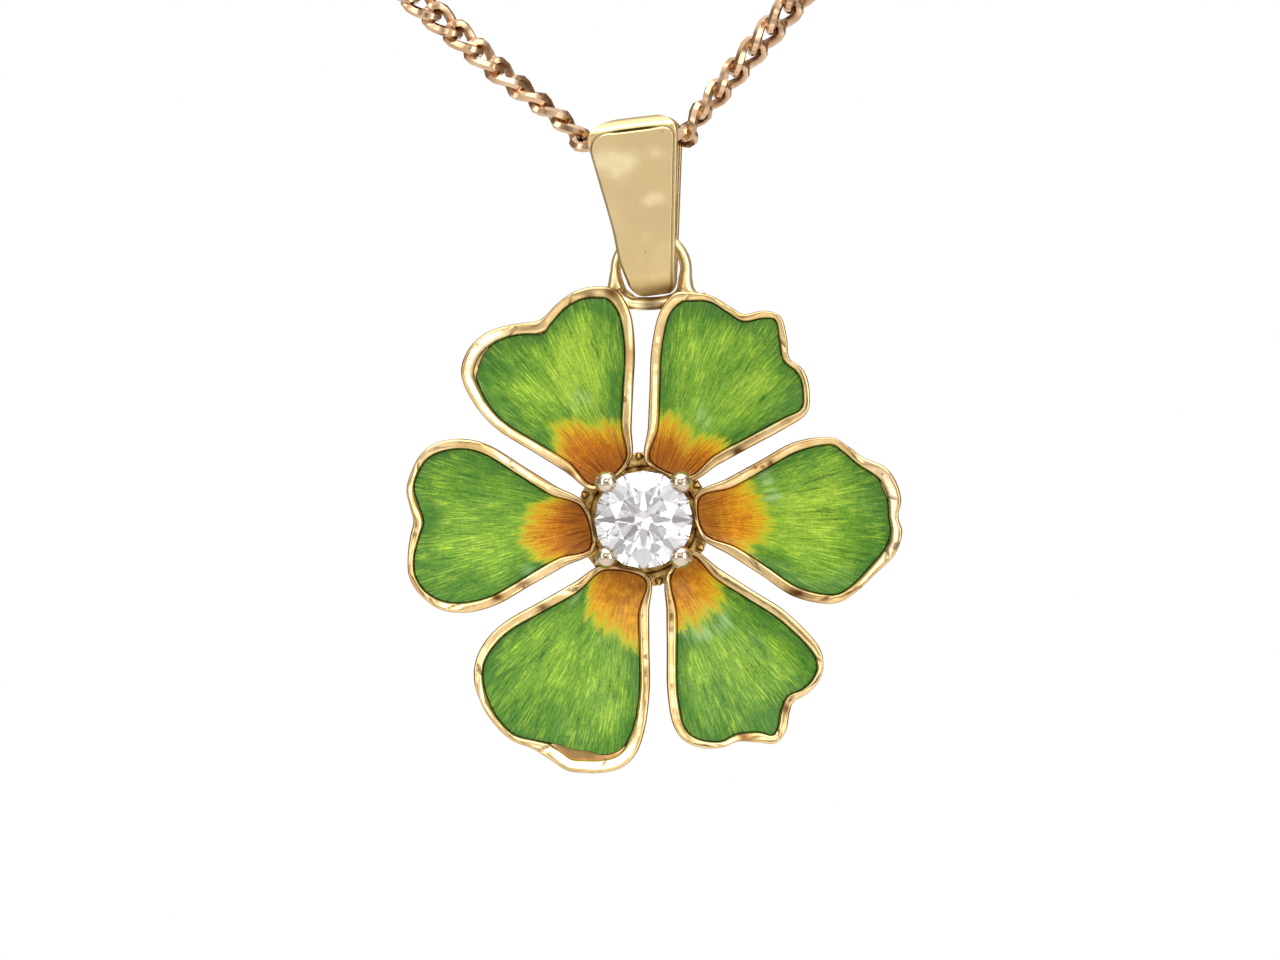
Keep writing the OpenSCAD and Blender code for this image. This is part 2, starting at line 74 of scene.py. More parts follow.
# Margin of each petal, counter-clockwise: bearing, reach from the stone's centre, width of the rim,
# and how far the rim's crest is rolled up above the others
MARGINS = {
    "right": [
        [-24, 8.45, 0.4, 0], [-19, 9.15, 0.35, 0], [-13, 9.75, 0.4, 0.05], [-8, 10.35, 0.5, 0.15],
        [-3, 10.57, 0.5, 0.2], [0.7, 10.4, 0.42, 0.15], [4.5, 10.55, 0.58, 0.2], [9, 10.4, 0.62, 0.15],
        [12.5, 10.05, 0.55, 0.1], [16, 9.3, 0.4, 0], [20, 8.85, 0.35, 0], [24, 8.3, 0.35, 0],
    ],
    "upper_right": [
        [33, 7.95, 0.35, 0], [37, 8.5, 0.3, 0], [41, 8.85, 0.3, 0], [44.5, 8.95, 0.3, 0],
        [48, 8.9, 0.3, 0], [52, 9.5, 0.35, 0], [56, 10, 0.3, 0], [60, 9.85, 0.35, 0],
        [64, 9.35, 0.35, 0], [68, 9.4, 0.3, 0], [73, 9.55, 0.3, 0], [78, 9.5, 0.4, 0],
        [82.5, 9.3, 0.5, 0], [85.8, 8.4, 0.45, 0],
    ],
    "upper_left": [
        [93.5, 8.4, 0.5, 0], [96.5, 9.4, 0.55, 0], [101, 9.7, 0.5, 0], [106, 9.75, 0.45, 0],
        [111, 9.55, 0.4, 0], [115.5, 9.25, 0.42, 0], [118, 9.2, 0.6, 0], [120.5, 9.35, 0.52, 0],
        [124.5, 9.65, 0.5, 0.05], [129.5, 9.95, 0.55, 0.15], [134.5, 10, 0.65, 0.25],
        [139.5, 9.75, 0.7, 0.25], [143, 9.2, 0.6, 0.15], [146.4, 8.1, 0.5, 0.05],
    ],
    "left": [
        [155.8, 8.05, 0.45, 0], [159.5, 9, 0.45, 0], [164, 9.5, 0.35, 0], [169, 9.7, 0.3, 0],
        [173, 9.75, 0.35, 0], [177, 9.55, 0.4, 0], [180.5, 9.4, 0.45, 0], [184, 9.55, 0.4, 0],
        [189, 9.75, 0.3, 0], [194, 9.85, 0.3, 0], [199, 9.6, 0.3, 0], [204, 9.05, 0.4, 0],
        [207.8, 8.15, 0.45, 0],
    ],
    "lower_left": [
        [217.3, 8.05, 0.45, 0], [220, 8.95, 0.4, 0], [224, 9.6, 0.4, 0], [229, 10.05, 0.35, 0],
        [234, 10.35, 0.3, 0], [239, 10.5, 0.3, 0], [244, 10.4, 0.4, 0], [248.5, 10.5, 0.7, 0.15],
        [253, 10.7, 0.9, 0.25], [257, 10.6, 0.9, 0.3], [261, 10.45, 0.75, 0.25],
        [265, 10.15, 0.7, 0.2], [268.4, 9.5, 0.6, 0.1], [270.6, 8.4, 0.5, 0],
    ],
    "lower_right": [
        [278, 8.3, 0.45, 0], [280, 9.1, 0.4, 0], [284, 9.6, 0.35, 0], [289, 9.85, 0.3, 0],
        [293, 9.85, 0.35, 0], [297, 10.2, 0.45, 0], [300.5, 10.6, 0.4, 0], [304, 10.4, 0.4, 0],
        [307, 9.9, 0.4, 0], [309.5, 9.65, 0.38, 0], [313, 9.75, 0.3, 0], [317, 9.75, 0.3, 0],
        [321, 9.45, 0.3, 0], [324.5, 8.7, 0.4, 0],
    ],
}
# Bearings of the small creases across each petal's rim, where its rolled edge was pinched
CREASES = {
    "right": (4.6, -9, -25), "upper_right": (50.5, 79), "upper_left": (108.6, 124),
    "left": (166, 205.8), "lower_left": (221.3, 246.5, 261.2), "lower_right": (302.5, 322),
}
# Painted shade and painted dark reflections on the rims, brown patches: across and up from the stone's
# centre, half width, half height, strength
PAINTED_DARK_PATCHES = [
    (6.2, -3.0, 0.6, 0.25, 1.1), (-1.25, 9.3, 0.4, 0.3, 0.9), (-2.2, 9.15, 0.3, 0.2, 0.8),
    (3.9, 2.75, 0.3, 0.25, 1.2), (5.2, 2.3, 0.15, 0.2, 1.0), (1.8, 3.1, 0.15, 0.7, 0.7),
    (-6.0, -3.15, 0.3, 0.2, 1.1), (-5.0, -2.6, 0.5, 0.2, 0.8), (-4.1, -3.6, 0.3, 0.2, 0.9),
    (-3.2, 1.9, 0.6, 0.25, 0.8), (-2.4, -1.9, 0.4, 0.3, 0.8), (9.95, -0.9, 0.25, 0.3, 0.9),
    (5.8, -7.7, 0.2, 0.3, 1.0), (-0.36, 5.7, 0.12, 2.4, 0.9), (-0.3, -4.7, 0.12, 0.9, 0.8),
    (-9.6, 0.1, 0.3, 0.5, 0.5), (0.3, -6.0, 0.12, 1.6, 0.6), (4.1, -8.85, 0.35, 0.2, 1.0),
    (-3.7, -9.15, 0.4, 0.2, 0.8),
]
# Rows along a petal's sides, from the hub outward: distance from the stone's centre, width of the rim
SIDE_ROWS = np.array([[2.3, 0.25], [3.8, SIDE_RIM_W], [5.3, SIDE_RIM_W], [6.9, SIDE_RIM_W]])


def spread(low, high, count):
    """Evenly spaced numbers from low to high as a column."""
    return np.linspace(low, high, count)[:, None]


def unit(vectors):
    """Vectors brought to the length of one."""
    return vectors / np.linalg.norm(vectors, axis=-1, keepdims=True)


def closed_curve(points, steps):
    """Smooth closed curve through the points: on each stretch, the sum of the four nearest points,
    weighed by cubics in the share of the stretch (Catmull-Rom)."""
    t = np.arange(steps)[:, None] / steps
    a, b, c, d = (np.roll(points, shift, axis=0)[:, None] for shift in (1, 0, -1, -2))
    curve = b + t * ((c - a) + t * ((2 * a - 5 * b + 4 * c - d) + t * (3 * b - a - 3 * c + d))) / 2
    return curve.reshape(-1, points.shape[1])


def beside(slot, shift, reach):
    """Points beside a slot's middle line: the reach along its bearing plus a shift at right angles."""
    bearing = np.radians(slot[0])
    along = np.array([np.cos(bearing), np.sin(bearing)])
    return reach[:, None] * along + (slot[1] + shift) * np.array([-along[1], along[0]])


def petal_outline(index, side):
    """Outer edge, inner edge of the rim and its roll, as dense closed curves. The inner edge is the
    outer one's points moved inward by the rim's width, at right angles to the curve."""
    before, after = SLOTS[index - 1], SLOTS[index]
    rows = np.array(MARGINS[side], float)
    bearing = np.radians(rows[:, 0])
    lobes = np.column_stack([rows[:, 1] * np.cos(bearing), rows[:, 1] * np.sin(bearing), rows[:, 2:]])
    rims = np.column_stack([SIDE_ROWS[:, 1], np.zeros(len(SIDE_ROWS))])
    right = np.column_stack([beside(before, before[2], SIDE_ROWS[:, 0]), rims])
    left = np.column_stack([beside(after, -after[2], SIDE_ROWS[:, 0]), rims])[::-1]
    rows = np.concatenate([right, lobes, left])
    ahead = unit(np.roll(rows, -1, axis=0)[:, :2] - np.roll(rows, 1, axis=0)[:, :2])
    inner = rows[:, :2] + rows[:, 2:3] * np.column_stack([-ahead[:, 1], ahead[:, 0]])
    curves = closed_curve(np.column_stack([rows, inner]), EDGE_STEPS)
    return curves[:, :2], curves[:, 4:6], curves[:, 2], curves[:, 3]


def petal_bearing(index):
    """Bearing of a petal's middle line, halfway between its two slots, in radians."""
    before = SLOTS[index - 1, 0] - (360 if index == 0 else 0)
    return np.radians((before + SLOTS[index, 0]) / 2)


def along_across(points, bearing):
    """A point's distance along the petal's middle line, and to the left of it."""
    along = points[..., 0] * np.cos(bearing) + points[..., 1] * np.sin(bearing)
    across = points[..., 1] * np.cos(bearing) - points[..., 0] * np.sin(bearing)
    return along, across


def floor_height(points, bearing):
    """Height of the petal's floor above the flower's back: a power of the distance beyond the hub,
    plus the square of the distance from the middle line."""
    along, across = along_across(points, bearing)
    run = np.maximum(0, along - HUB_R) / REACH
    return FLOOR_AT_HUB + FLOOR_RISE * run ** FLOOR_POWER + DISH_RISE * (across / DISH_HALF_W) ** 2


def in_row_frame(across, height, up):
    """Flower millimetres to the row frame's metres: across to the right, height toward the viewer."""
    return np.stack([flower_x + across * MM, flower_back - height * MM, flower_z + up * MM], axis=-1)


def build(name, grid, body, slot, ends="pole", sharp=None, **values):
    """Mesh over a grid of points, rows by round by three, or over many such grids in one array:
    four-sided faces between neighbours, closed round each row. The first and last rows close on their
    middle points, or on each other if ends is 'ring'. Faces are turned outward by the sign of the
    volume that they enclose, a sum of determinants. Each of values is a number for every point of the
    grid, kept as an attribute of the mesh."""
    grids = grid if grid.ndim == 4 else grid[None]
    copies, rows, count = grids.shape[:3]
    points = grids.reshape(copies, -1, 3)
    k = np.arange(rows if ends == "ring" else rows - 1)[:, None]
    i = np.arange(count)[None]
    here, there = k * count, (k + 1) % rows * count
    ahead = (i + 1) % count
    quads = np.stack([here + i, here + ahead, there + ahead, there + i], -1).reshape(-1, 4)
    tips = np.zeros((0, 3), int)
    if ends == "pole":
        points = np.concatenate([points, grids[:, :1].mean(2), grids[:, -1:].mean(2)], 1)
        i, ahead = i[0], ahead[0]
        first = np.stack([ahead, i, np.full(count, rows * count)], -1)
        last = (rows - 1) * count + np.stack([i, ahead, np.full(count, count + 1)], -1)
        tips = np.concatenate([first, last])
    triangles = points[0][np.concatenate([quads[:, :3], quads[:, [0, 2, 3]], tips])] - points[0, 0]
    if np.linalg.det(triangles).sum() < 0:
        quads, tips = quads[:, ::-1], tips[:, ::-1]
    offsets = np.arange(copies)[:, None, None] * points.shape[1]
    faces = (quads[None] + offsets).reshape(-1, 4).tolist()
    faces += (tips[None] + offsets).reshape(-1, 3).tolist()
    mesh = bpy.data.meshes.new(name)
    mesh.from_pydata(points.reshape(-1, 3), [], faces)
    for label, numbers in values.items():
        numbers = np.broadcast_to(numbers, grids.shape[:3]).astype(float)
        ends_of = [numbers[:, :1].mean(2), numbers[:, -1:].mean(2)] if ends == "pole" else []
        numbers = np.concatenate([numbers.reshape(copies, -1), *ends_of], 1)
        mesh.attributes.new(label, "FLOAT", "POINT").data.foreach_set("value", numbers.ravel())
    mesh.shade_smooth()
    if sharp:
        mesh.set_sharp_from_angle(angle=np.radians(sharp))
    piece = bpy.data.objects.new(name, mesh)
    bpy.context.scene.collection.objects.link(piece)
    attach(piece, body)
    return piece


def spots(across, up, rows):
    """Sum of soft round spots: a bell curve of the distance from each row's place, in half widths."""
    return sum(strength * np.exp(-((across - x) / wide) ** 2 - ((up - z) / tall) ** 2)
               for x, z, wide, tall, strength in rows)


def petal_shell(index, side):
    """The petal as rings from the middle of its back, over the rim, to the middle of its floor. The
    rim's lip is a flat oval: 1 less the fourth power of the distance from its middle, under a square
    root. It tips in and out by sines of the bearing, and a trough lies between it and the enamel."""
    outer, inner, width, roll = petal_outline(index, side)
    bearing = petal_bearing(index)
    mid = PETAL_MID * np.array([np.cos(bearing), np.sin(bearing)])
    inward = (inner - outer) / width[:, None]
    lip = np.minimum(width - TROUGH_LEAST_W, LIP_W)
    crest = RIM_H + roll
    around = np.arctan2(outer[:, 1], outer[:, 0])
    tip = 0.08 * np.sin(10 * around + 2 * index) + 0.06 * np.sin(27 * around + index)
    turned = np.radians(CREASES[side])[:, None] - around
    rolled = np.clip(roll / FULL_ROLL, 0, 1)
    tip = tip * (1 - rolled) - ROLLED_TIP * rolled
    # Each ring of points has its place, its height above the floor and its share of painted shade and
    # tarnish: painted shade over the rounded outer edge, the creases, the trough and the wall
    rows = [(mid + draw * (outer + 0.3 * inward - mid), -SHELL_T, 0.25)
            for draw in np.linspace(0.1, 0.95, 6)]
    for angle in np.radians(np.linspace(0, 90, 7)):
        place = outer + EDGE_ROUND * (1 - np.sin(angle)) * inward
        rows.append((place, EDGE_ROUND * (1 - np.cos(angle)) - SHELL_T, 0.6))
    lip_start = len(rows)
    for angle in np.radians(np.linspace(0, 180, 17)):
        share = (1 - np.cos(angle)) / 2
        bulge = np.sqrt(1 - np.cos(angle) ** 4)
        slant = np.angle(np.exp(1j * turned)) + 0.03 * (share - 0.5)
        crease = np.exp(-(slant / CREASE_HALF_W) ** 2).sum(0) * min(1, 1.4 * share)
        height = crest - LIP_ROUND * (1 - bulge) + (tip * (share - 0.5) - CREASE_DEPTH * crease) * bulge
        # Painted shade darkens the lip at its outer edge and in its creases
        dark = np.maximum(0.3 * max(0, 1 - share / 0.1), 0.8 * crease)
        rows.append((outer + (share * lip)[:, None] * inward, height, dark))
    rows.append((outer + (lip + 0.2 * (width - lip))[:, None] * inward, TROUGH, 0.6))
    rows.append((inner, TROUGH - TROUGH_FALL, 0.7))
    rows.append((inner + WALL_LEAN * inward, 0.0, 0.9))
    rows += [(mid + draw * (inner - mid), 0.0, 0.9) for draw in np.linspace(0.9, 0.1, 4)]
    rings = np.array([row[0] for row in rows])
    heights, tarnish = (np.array([np.broadcast_to(row[part], len(outer)) for row in rows])
                        for part in (1, 2))
    # Painted shade round the hub, and the painted dark patches on the rims
    near_hub = np.exp(-np.maximum(0, np.linalg.norm(rings, axis=-1) - HUB_R) / 0.7)
    tarnish = np.maximum(tarnish, 0.45 * near_hub)
    tarnish = np.maximum(tarnish, spots(rings[..., 0], rings[..., 1], PAINTED_DARK_PATCHES))
    # Painted highlight: the middle of each rolled lip is made paler
    inset = np.linalg.norm(rings - outer, axis=-1) / lip
    bright = rolled * np.exp(-((inset - 0.6) / 0.3) ** 4) * (np.arange(len(rows)) >= lip_start)[:, None]
    grid = in_row_frame(rings[..., 0], heights + floor_height(rings, bearing), rings[..., 1])
    return grid, {"tarnish": tarnish, "bright": bright}


class Link:
    """An output in a material's nodes. A sum, difference or product with another one or with a
    number adds a Math node, so that a pattern reads as a formula."""

    def __init__(self, tree, socket=None):
        self.tree, self.socket = tree, socket

    def node(self, kind, settings=None, inputs=None, output=0):
        """Adds a node. Its settings are applied first, then its inputs are set or linked."""
        node = self.tree.nodes.new("ShaderNode" + kind)
        for name, value in (settings or {}).items():
            setattr(node, name, value)
        for name, value in (inputs or {}).items():
            if isinstance(value, Link):
                self.tree.links.new(value.socket, node.inputs[name])
            else:
                node.inputs[name].default_value = value
        return Link(self.tree, node.outputs[output])

    def math(self, operation, *terms):
        return self.node("Math", {"operation": operation}, dict(enumerate(terms)))

    def __add__(self, other):
        return self.math("ADD", self, other)

    def __sub__(self, other):
        return self.math("SUBTRACT", self, other)

    def __rsub__(self, other):
        return self.math("SUBTRACT", other, self)

    def __mul__(self, other):
        return self.math("MULTIPLY", self, other)

    __radd__, __rmul__ = __add__, __mul__

    def rise(self, low, high):
        """0 below low, 1 above high and smooth between them; low may be the larger."""
        steps = {"From Min": low, "From Max": high}
        return self.node("MapRange", {"interpolation_type": "SMOOTHSTEP"}, {"Value": self, **steps})

    def mix(self, colour, other):
        """The first colour where this value is 0 and the other one where it is 1."""
        return self.node("Mix", {"data_type": "RGBA"}, {0: self, 6: colour, 7: other}, 2)

    def value(self, label):
        """An attribute of the piece's own mesh."""
        return self.node("Attribute", {"attribute_name": label}, output="Fac")

    def noise(self, scale, detail=2.0, vector=None):
        """Cloudy noise between 0 and 1 on the piece's own coordinates, or on a vector."""
        place = vector or self.node("TexCoord", output="Object")
        return self.node("TexNoise", None, {"Vector": place, "Scale": scale, "Detail": detail})

    def bump(self, height, distance, strength=1.0):
        return self.node("Bump", None, {"Strength": strength, "Distance": distance, "Height": height})


def srgb(red, green, blue):
    """A colour of the screen, 0 to 255, as the linear one that a shader takes."""
    shares = np.array([red, green, blue]) / 255
    linear = np.where(shares < 0.04045, shares / 12.92, ((shares + 0.055) / 1.055) ** 2.4)
    return (*linear, 1.0)


def new_material(name, links, **constants):
    """A material with one principled shader. links are given as a function that takes a Link and
    returns what varies over the surface, and constants are set on the shader's own sockets."""
    material = bpy.data.materials.new(name)
    material.use_nodes = True
    tree = material.node_tree
    shader = tree.nodes["Principled BSDF"]
    for label, number in constants.items():
        shader.inputs[label.replace("_", " ")].default_value = number
    for label, link in links(Link(tree)).items():
        tree.links.new(link.socket, shader.inputs[label])
    return material


def polished_gold(name, face, deep, rub=0.16, wave=0.1, nick=0.6, brown=srgb(96, 58, 22)):
    """Polished gold: a face colour that drifts toward a deeper one in soft clouds, paler where the mesh
    carries a painted highlight, brown where it carries painted shade and tarnish in the corners, and in a
    few nicks. Fine rubbed marks are in the roughness, and the slight waviness of hand polishing is in the
    bump."""
    def links(start):
        clouds = start.noise(900).rise(0.35, 0.7)
        marks = start.noise(9000, 4.0)
        waves = 0.4 * start.noise(1300, 1.5) + start.noise(450, 1.0)
        nicks = start.noise(2100, 1.0).rise(0.7, 0.76) * nick
        # Painted shade and tarnish from the mesh, and a few nicks, turn the gold brown; the painted
        # highlight makes it paler
        tarnish = start.value("tarnish") * (0.7 + 0.6 * start.noise(3000, 3.0)) + nicks
        gold = (start.value("bright") * 0.6).mix(clouds.mix(face, deep), (1.0, 0.91, 0.72, 1))
        return {
            "Base Color": tarnish.mix(gold, brown),
            "Roughness": rub + 0.1 * (marks - 0.5) + 0.15 * tarnish + 0.12 * start.value("bright"),
            "Normal": start.bump(waves, wave * MM),
        }
    return new_material(name, links, Metallic=1.0)


petal_gold = polished_gold("petal_gold", (0.8, 0.59, 0.3, 1), (0.62, 0.41, 0.17, 1))
for index, side in enumerate(MARGINS):
    grid, values = petal_shell(index, side)
    petal = build("petal_" + side, grid, "flower", "yellow_gold", sharp=50, **values)
    petal.data.materials.append(petal_gold)
    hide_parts("flower_frame")

# Enamel. Translucent green glass fired into each petal over a ground engraved with fine rays, so the
# gold flashes through it in streaks. It is dark along the rim, partly where it lies deep and partly
# painted shade, has painted light and shade and a painted sheen over it, and is orange by the hub.
FAN_CENTRE = 0.5
ENAMEL_TOP, ENAMEL_MIDDLE, ENAMEL_FOOT = 0.27, 0.24, 0.06
ENAMEL_SINKS, ENAMEL_SWAY = 0.4, 0.012
GREEN_RIM_SHADE, GREEN_DARK, GREEN_SHADE = srgb(34, 84, 32), srgb(46, 92, 18), srgb(62, 112, 30)
GREEN, GREEN_WARM, GREEN_BRIGHT = srgb(96, 142, 38), srgb(132, 166, 50), srgb(186, 214, 70)
GREEN_SHEEN = srgb(160, 192, 130)
ORANGE, GOLDEN, YELLOW = srgb(160, 82, 4), srgb(198, 128, 4), srgb(202, 170, 24)
YELLOW_GREEN = srgb(160, 176, 36)
ORANGE_DEEP, ORANGE_BRIGHT = srgb(104, 44, 4), srgb(236, 170, 36)
# Where the orange ends on each petal, from its right edge to its left at equal steps of the bearing:
# distance from the stone's centre. Then how golden the orange is
ORANGE_ENDS = {
    "right": ([4.4, 4.72, 5.2, 4.85, 4.5], 0.3), "upper_right": ([4.6, 4.65, 3.95, 4.5, 4.45], 0.1),
    "upper_left": ([4.0, 4.15, 4.5, 5.3, 4.6], 0.05), "left": ([3.7, 4.05, 4.95, 5.1, 4.3], 0.1),
    "lower_left": ([2.6, 3.0, 4.6, 4.85, 5.3], 0.6), "lower_right": ([4.6, 4.75, 4.8, 4.72, 4.1], 0.45),
}
# Painted light and shade in the green, its lighter and darker places, and the painted sheen of the
# milky places by the orange's end: across and up from the stone's centre, half width, half height,
# strength
LIGHT_AND_SHADE_SPOTS = [
    (-6.3, 0.3, 2.2, 1.8, -0.3), (-3.2, -6.6, 2.0, 1.8, -0.28), (3.4, -6.4, 1.8, 1.8, -0.3),
    (-3.6, 6.2, 1.8, 1.6, 0.25), (6.4, 0.2, 2.0, 1.8, 0.25),
    (-2.6, 5.7, 1.1, 1.2, 0.9), (-2.8, 7.4, 0.8, 0.8, 0.4), (-4.4, 5.2, 0.7, 0.7, 0.5),
    (-5.9, 6.3, 1.0, 1.0, -0.7), (-2.0, 8.7, 1.0, 0.6, -0.5), (-5.2, 4.3, 0.6, 0.7, -0.5),
    (-1.3, 5.0, 0.35, 1.2, -0.4), (4.2, 5.6, 0.9, 0.8, 0.6), (1.5, 5.8, 0.5, 1.0, 0.4),
    (2.6, 8.6, 1.1, 0.6, -0.5), (4.8, 7.6, 0.8, 0.8, -0.6), (6.2, 5.3, 0.6, 0.9, -0.5),
    (2.9, 5.2, 0.6, 0.8, -0.3), (-6.6, -0.7, 1.6, 0.6, 0.3), (-7.1, 1.4, 1.4, 1.0, -0.2),
    (-9.0, -0.5, 0.8, 3.0, -0.6), (-7.4, -2.9, 1.6, 0.8, -0.9), (6.4, 0.2, 1.1, 1.1, 1.0),
    (7.6, 1.3, 0.5, 0.8, 0.8), (9.0, 0.4, 0.8, 2.2, -0.7), (5.6, -1.7, 0.8, 0.4, -0.6),
    (6.4, 2.4, 0.9, 0.4, -0.3), (3.3, -5.4, 1.0, 0.7, 0.2), (4.1, -6.1, 0.5, 0.5, 0.5),
    (2.2, -6.3, 0.4, 0.8, 0.4), (6.7, -6.2, 0.9, 1.0, -0.8), (3.0, -8.6, 1.4, 0.9, -0.8),
    (5.4, -8.2, 0.8, 0.9, -0.8), (5.0, -4.1, 1.2, 0.5, -0.7), (-3.7, -5.5, 1.3, 1.0, 0.3),
    (-1.6, -7.2, 0.6, 1.0, 0.4), (-6.1, -6.5, 1.0, 1.2, -0.8), (-5.0, -8.6, 1.5, 0.9, -0.8),
    (-2.0, -9.0, 0.9, 0.5, -0.6), (-0.4, -6.8, 0.25, 1.2, -0.6),
]
SHEEN_SPOTS = [
    (2.4, -4.65, 0.6, 0.4, 1.2), (3.35, -4.15, 0.4, 0.5, 1.2), (5.0, 1.6, 0.5, 0.4, 1.2),
    (5.3, 0.95, 0.4, 0.3, 1.2), (-2.6, 4.9, 0.5, 0.5, 0.9), (2.5, 4.1, 0.4, 0.6, 0.9),
    (-4.7, -2.0, 0.4, 0.3, 0.9), (-2.9, -3.1, 0.4, 0.5, 0.8),
]


def enamel_rings(index, side):
    """The enamel as rings from the middle of its underside, up its wall and over its face. The face
    sinks from the rim by an exponential of the distance from it, and sways by a product of sines."""
    inner = petal_outline(index, side)[1]
    bearing = petal_bearing(index)
    mid = PETAL_MID * np.array([np.cos(bearing), np.sin(bearing)])
    under = np.array([0.1, 0.5, 1.0])
    draws = 1 - np.linspace(0, 1, 34)[:-1] ** 1.6
    rings = mid + np.concatenate([under, draws])[:, None, None] * (inner - mid)
    gap = np.linalg.norm(rings[:, :, None] - inner, axis=-1).min(2)
    face = ENAMEL_MIDDLE + (ENAMEL_TOP - ENAMEL_MIDDLE) * np.exp(-gap / ENAMEL_SINKS)
    face += ENAMEL_SWAY * np.sin(2.1 * rings[..., 0] + index) * np.sin(2.6 * rings[..., 1] + 2 * index)
    heights = np.where(np.arange(len(rings))[:, None] < len(under), ENAMEL_FOOT, face)
    along, across = along_across(rings, bearing)
    fan = np.arctan2(across, along - FAN_CENTRE)
    ends, golden = ORANGE_ENDS[side]
    end = np.interp(fan / np.radians(30), np.linspace(-1, 1, len(ends)), ends)
    reach = np.hypot(along, across)
    grid = in_row_frame(rings[..., 0], heights + floor_height(rings, bearing), rings[..., 1])
    light_and_shade, painted_sheen = (spots(rings[..., 0], rings[..., 1], rows) for rows in (LIGHT_AND_SHADE_SPOTS, SHEEN_SPOTS))
    values = {"fan": fan + 7 * index, "reach": reach, "gap": gap, "beyond_orange": reach - end,
              "golden": golden, "light_and_shade": light_and_shade, "painted_sheen": painted_sheen}
    return grid, values


def enamel_links(start):
    """Rays are noise drawn out along the petal: fine across the fan and long in reach. The colours
    are mixed from painted shade, deep green, at the rim to bright streaks under painted light and shade,
    with a painted sheen in milky patches, then to yellow and orange by the hub."""
    fan, reach, gap, golden = (start.value(label) for label in ("fan", "reach", "gap", "golden"))

    def rays(across, along, detail=2.0):
        vector = start.node("CombineXYZ", None, {0: fan * across, 1: reach * along})
        return start.noise(1.0, detail, vector)

    fine, hair, broad, deep = rays(105.0, 0.9), rays(165.0, 1.8), rays(9.0, 0.5), rays(60.0, 0.5)
    grain, cloud = start.noise(9000, 3.0), start.noise(500, 2.0)
    # Painted shade along the rim: the painted light falls off toward it, and a deep green border is
    # painted there, partly where the enamel lies deep
    inside = (gap + 0.6 * (start.noise(700, 2.0) - 0.5)).rise(-0.15, 0.9)
    light = (0.55 + 0.45 * start.value("light_and_shade") + 0.7 * (cloud - 0.5)) * inside
    green = light.rise(0.1, 0.6).mix(GREEN_SHADE, GREEN)
    green = light.rise(0.5, 1.0).mix(green, GREEN_WARM)
    green = (gap + 0.4 * (start.noise(900, 2.0) - 0.5)).rise(0.16, -0.1).mix(green, GREEN_RIM_SHADE)
    streak = fine.rise(0.5, 0.62) * 0.6 + hair.rise(0.52, 0.64) * 0.5 + grain.rise(0.5, 0.62) * 0.2
    streak = streak * (0.2 + 0.6 * broad.rise(0.35, 0.62)) * (0.4 + 0.9 * light)
    green = streak.mix(green, GREEN_BRIGHT)
    furrow = deep.rise(0.47, 0.36) * 0.35 + hair.rise(0.48, 0.38) * 0.35 + grain.rise(0.5, 0.38) * 0.2
    green = (furrow * (0.4 + 1.1 * broad.rise(0.62, 0.35))).mix(green, GREEN_DARK)
    past = start.value("beyond_orange") + 1.2 * (rays(11.0, 0.4) - 0.5)
    past = past + 0.8 * (deep - 0.5) + 0.5 * (fine - 0.5) + 0.6 * (grain - 0.5)
    # Painted sheen: milky pale patches, where light would reflect from the glaze
    sheen = (start.value("painted_sheen") + 2.4 * (rays(30.0, 0.5) - 0.5)).rise(0.2, 1.4) * (0.4 + hair)
    green = (sheen * 0.6).mix(green, GREEN_SHEEN)
    orange = (golden + 0.5 * (cloud - 0.5)).mix(ORANGE, GOLDEN)
    shine = fine.rise(0.48, 0.62) * 0.5 + hair.rise(0.5, 0.66) * 0.4 + grain.rise(0.5, 0.65) * 0.3
    flakes = start.noise(3200, 2.0).rise(0.5, 0.62) * golden
    orange = (shine * (0.55 + 0.6 * golden)).mix(orange, ORANGE_BRIGHT)
    orange = (flakes * 0.8).mix(orange, ORANGE_BRIGHT)
    shade = start.noise(2400, 2.0).rise(0.5, 0.38) * golden * 0.3
    furrow = deep.rise(0.48, 0.34) * (0.6 - 0.6 * golden)
    orange = (reach.rise(3.9, 2.4) * 0.5 + furrow + shade).mix(orange, ORANGE_DEEP)
    orange = (past.rise(-1.2, -0.3) * (0.4 + 0.5 * fine.rise(0.44, 0.6))).mix(orange, YELLOW)
    orange = (past.rise(-0.45, -0.05) * (0.5 + 0.5 * hair.rise(0.4, 0.6))).mix(orange, YELLOW_GREEN)
    colour = past.rise(-0.15, 0.25).mix(orange, green)
    relief = fine * 0.35 + deep * 0.3 + hair * 0.2 + grain * 0.15
    return {
        "Base Color": colour,
        "Metallic": 0.2 + 0.4 * streak,
        "Roughness": 0.46 - 0.14 * fine,
        "Normal": start.bump(relief, 0.03 * MM, 0.9),
    }


enamel_glaze = new_material("enamel_glaze", enamel_links, Specular_IOR_Level=0.15,
                            Coat_Weight=0.3, Coat_Roughness=0.12, Coat_IOR=1.5)
for index, side in enumerate(MARGINS):
    grid, values = enamel_rings(index, side)
    glaze = build("enamel_face_" + side, grid, "flower", "enamel", **values)
    glaze.data.materials.append(enamel_glaze)
    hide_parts("enamel_" + side)

# Hub. A flat gold disc with a bore, to which the petals' roots and the claw setting are soldered. Its
# small lumps of solder stand at the inner ends of the slots, and its shaded ground is left matt.
HUB_BORE_R, SEAT_R, SEAT_HEIGHT, HUB_T = 1.35, 2.2, 0.55, 0.9
SOLDER_BEARINGS = (94, 33, 334, 284, 223, 157)
SOLDER_R, SOLDER_AT, SOLDER_LIFT, SOLDER_TALL, SOLDER_UNEVEN = 0.17, 2.6, 0.12, 1.2, 0.12


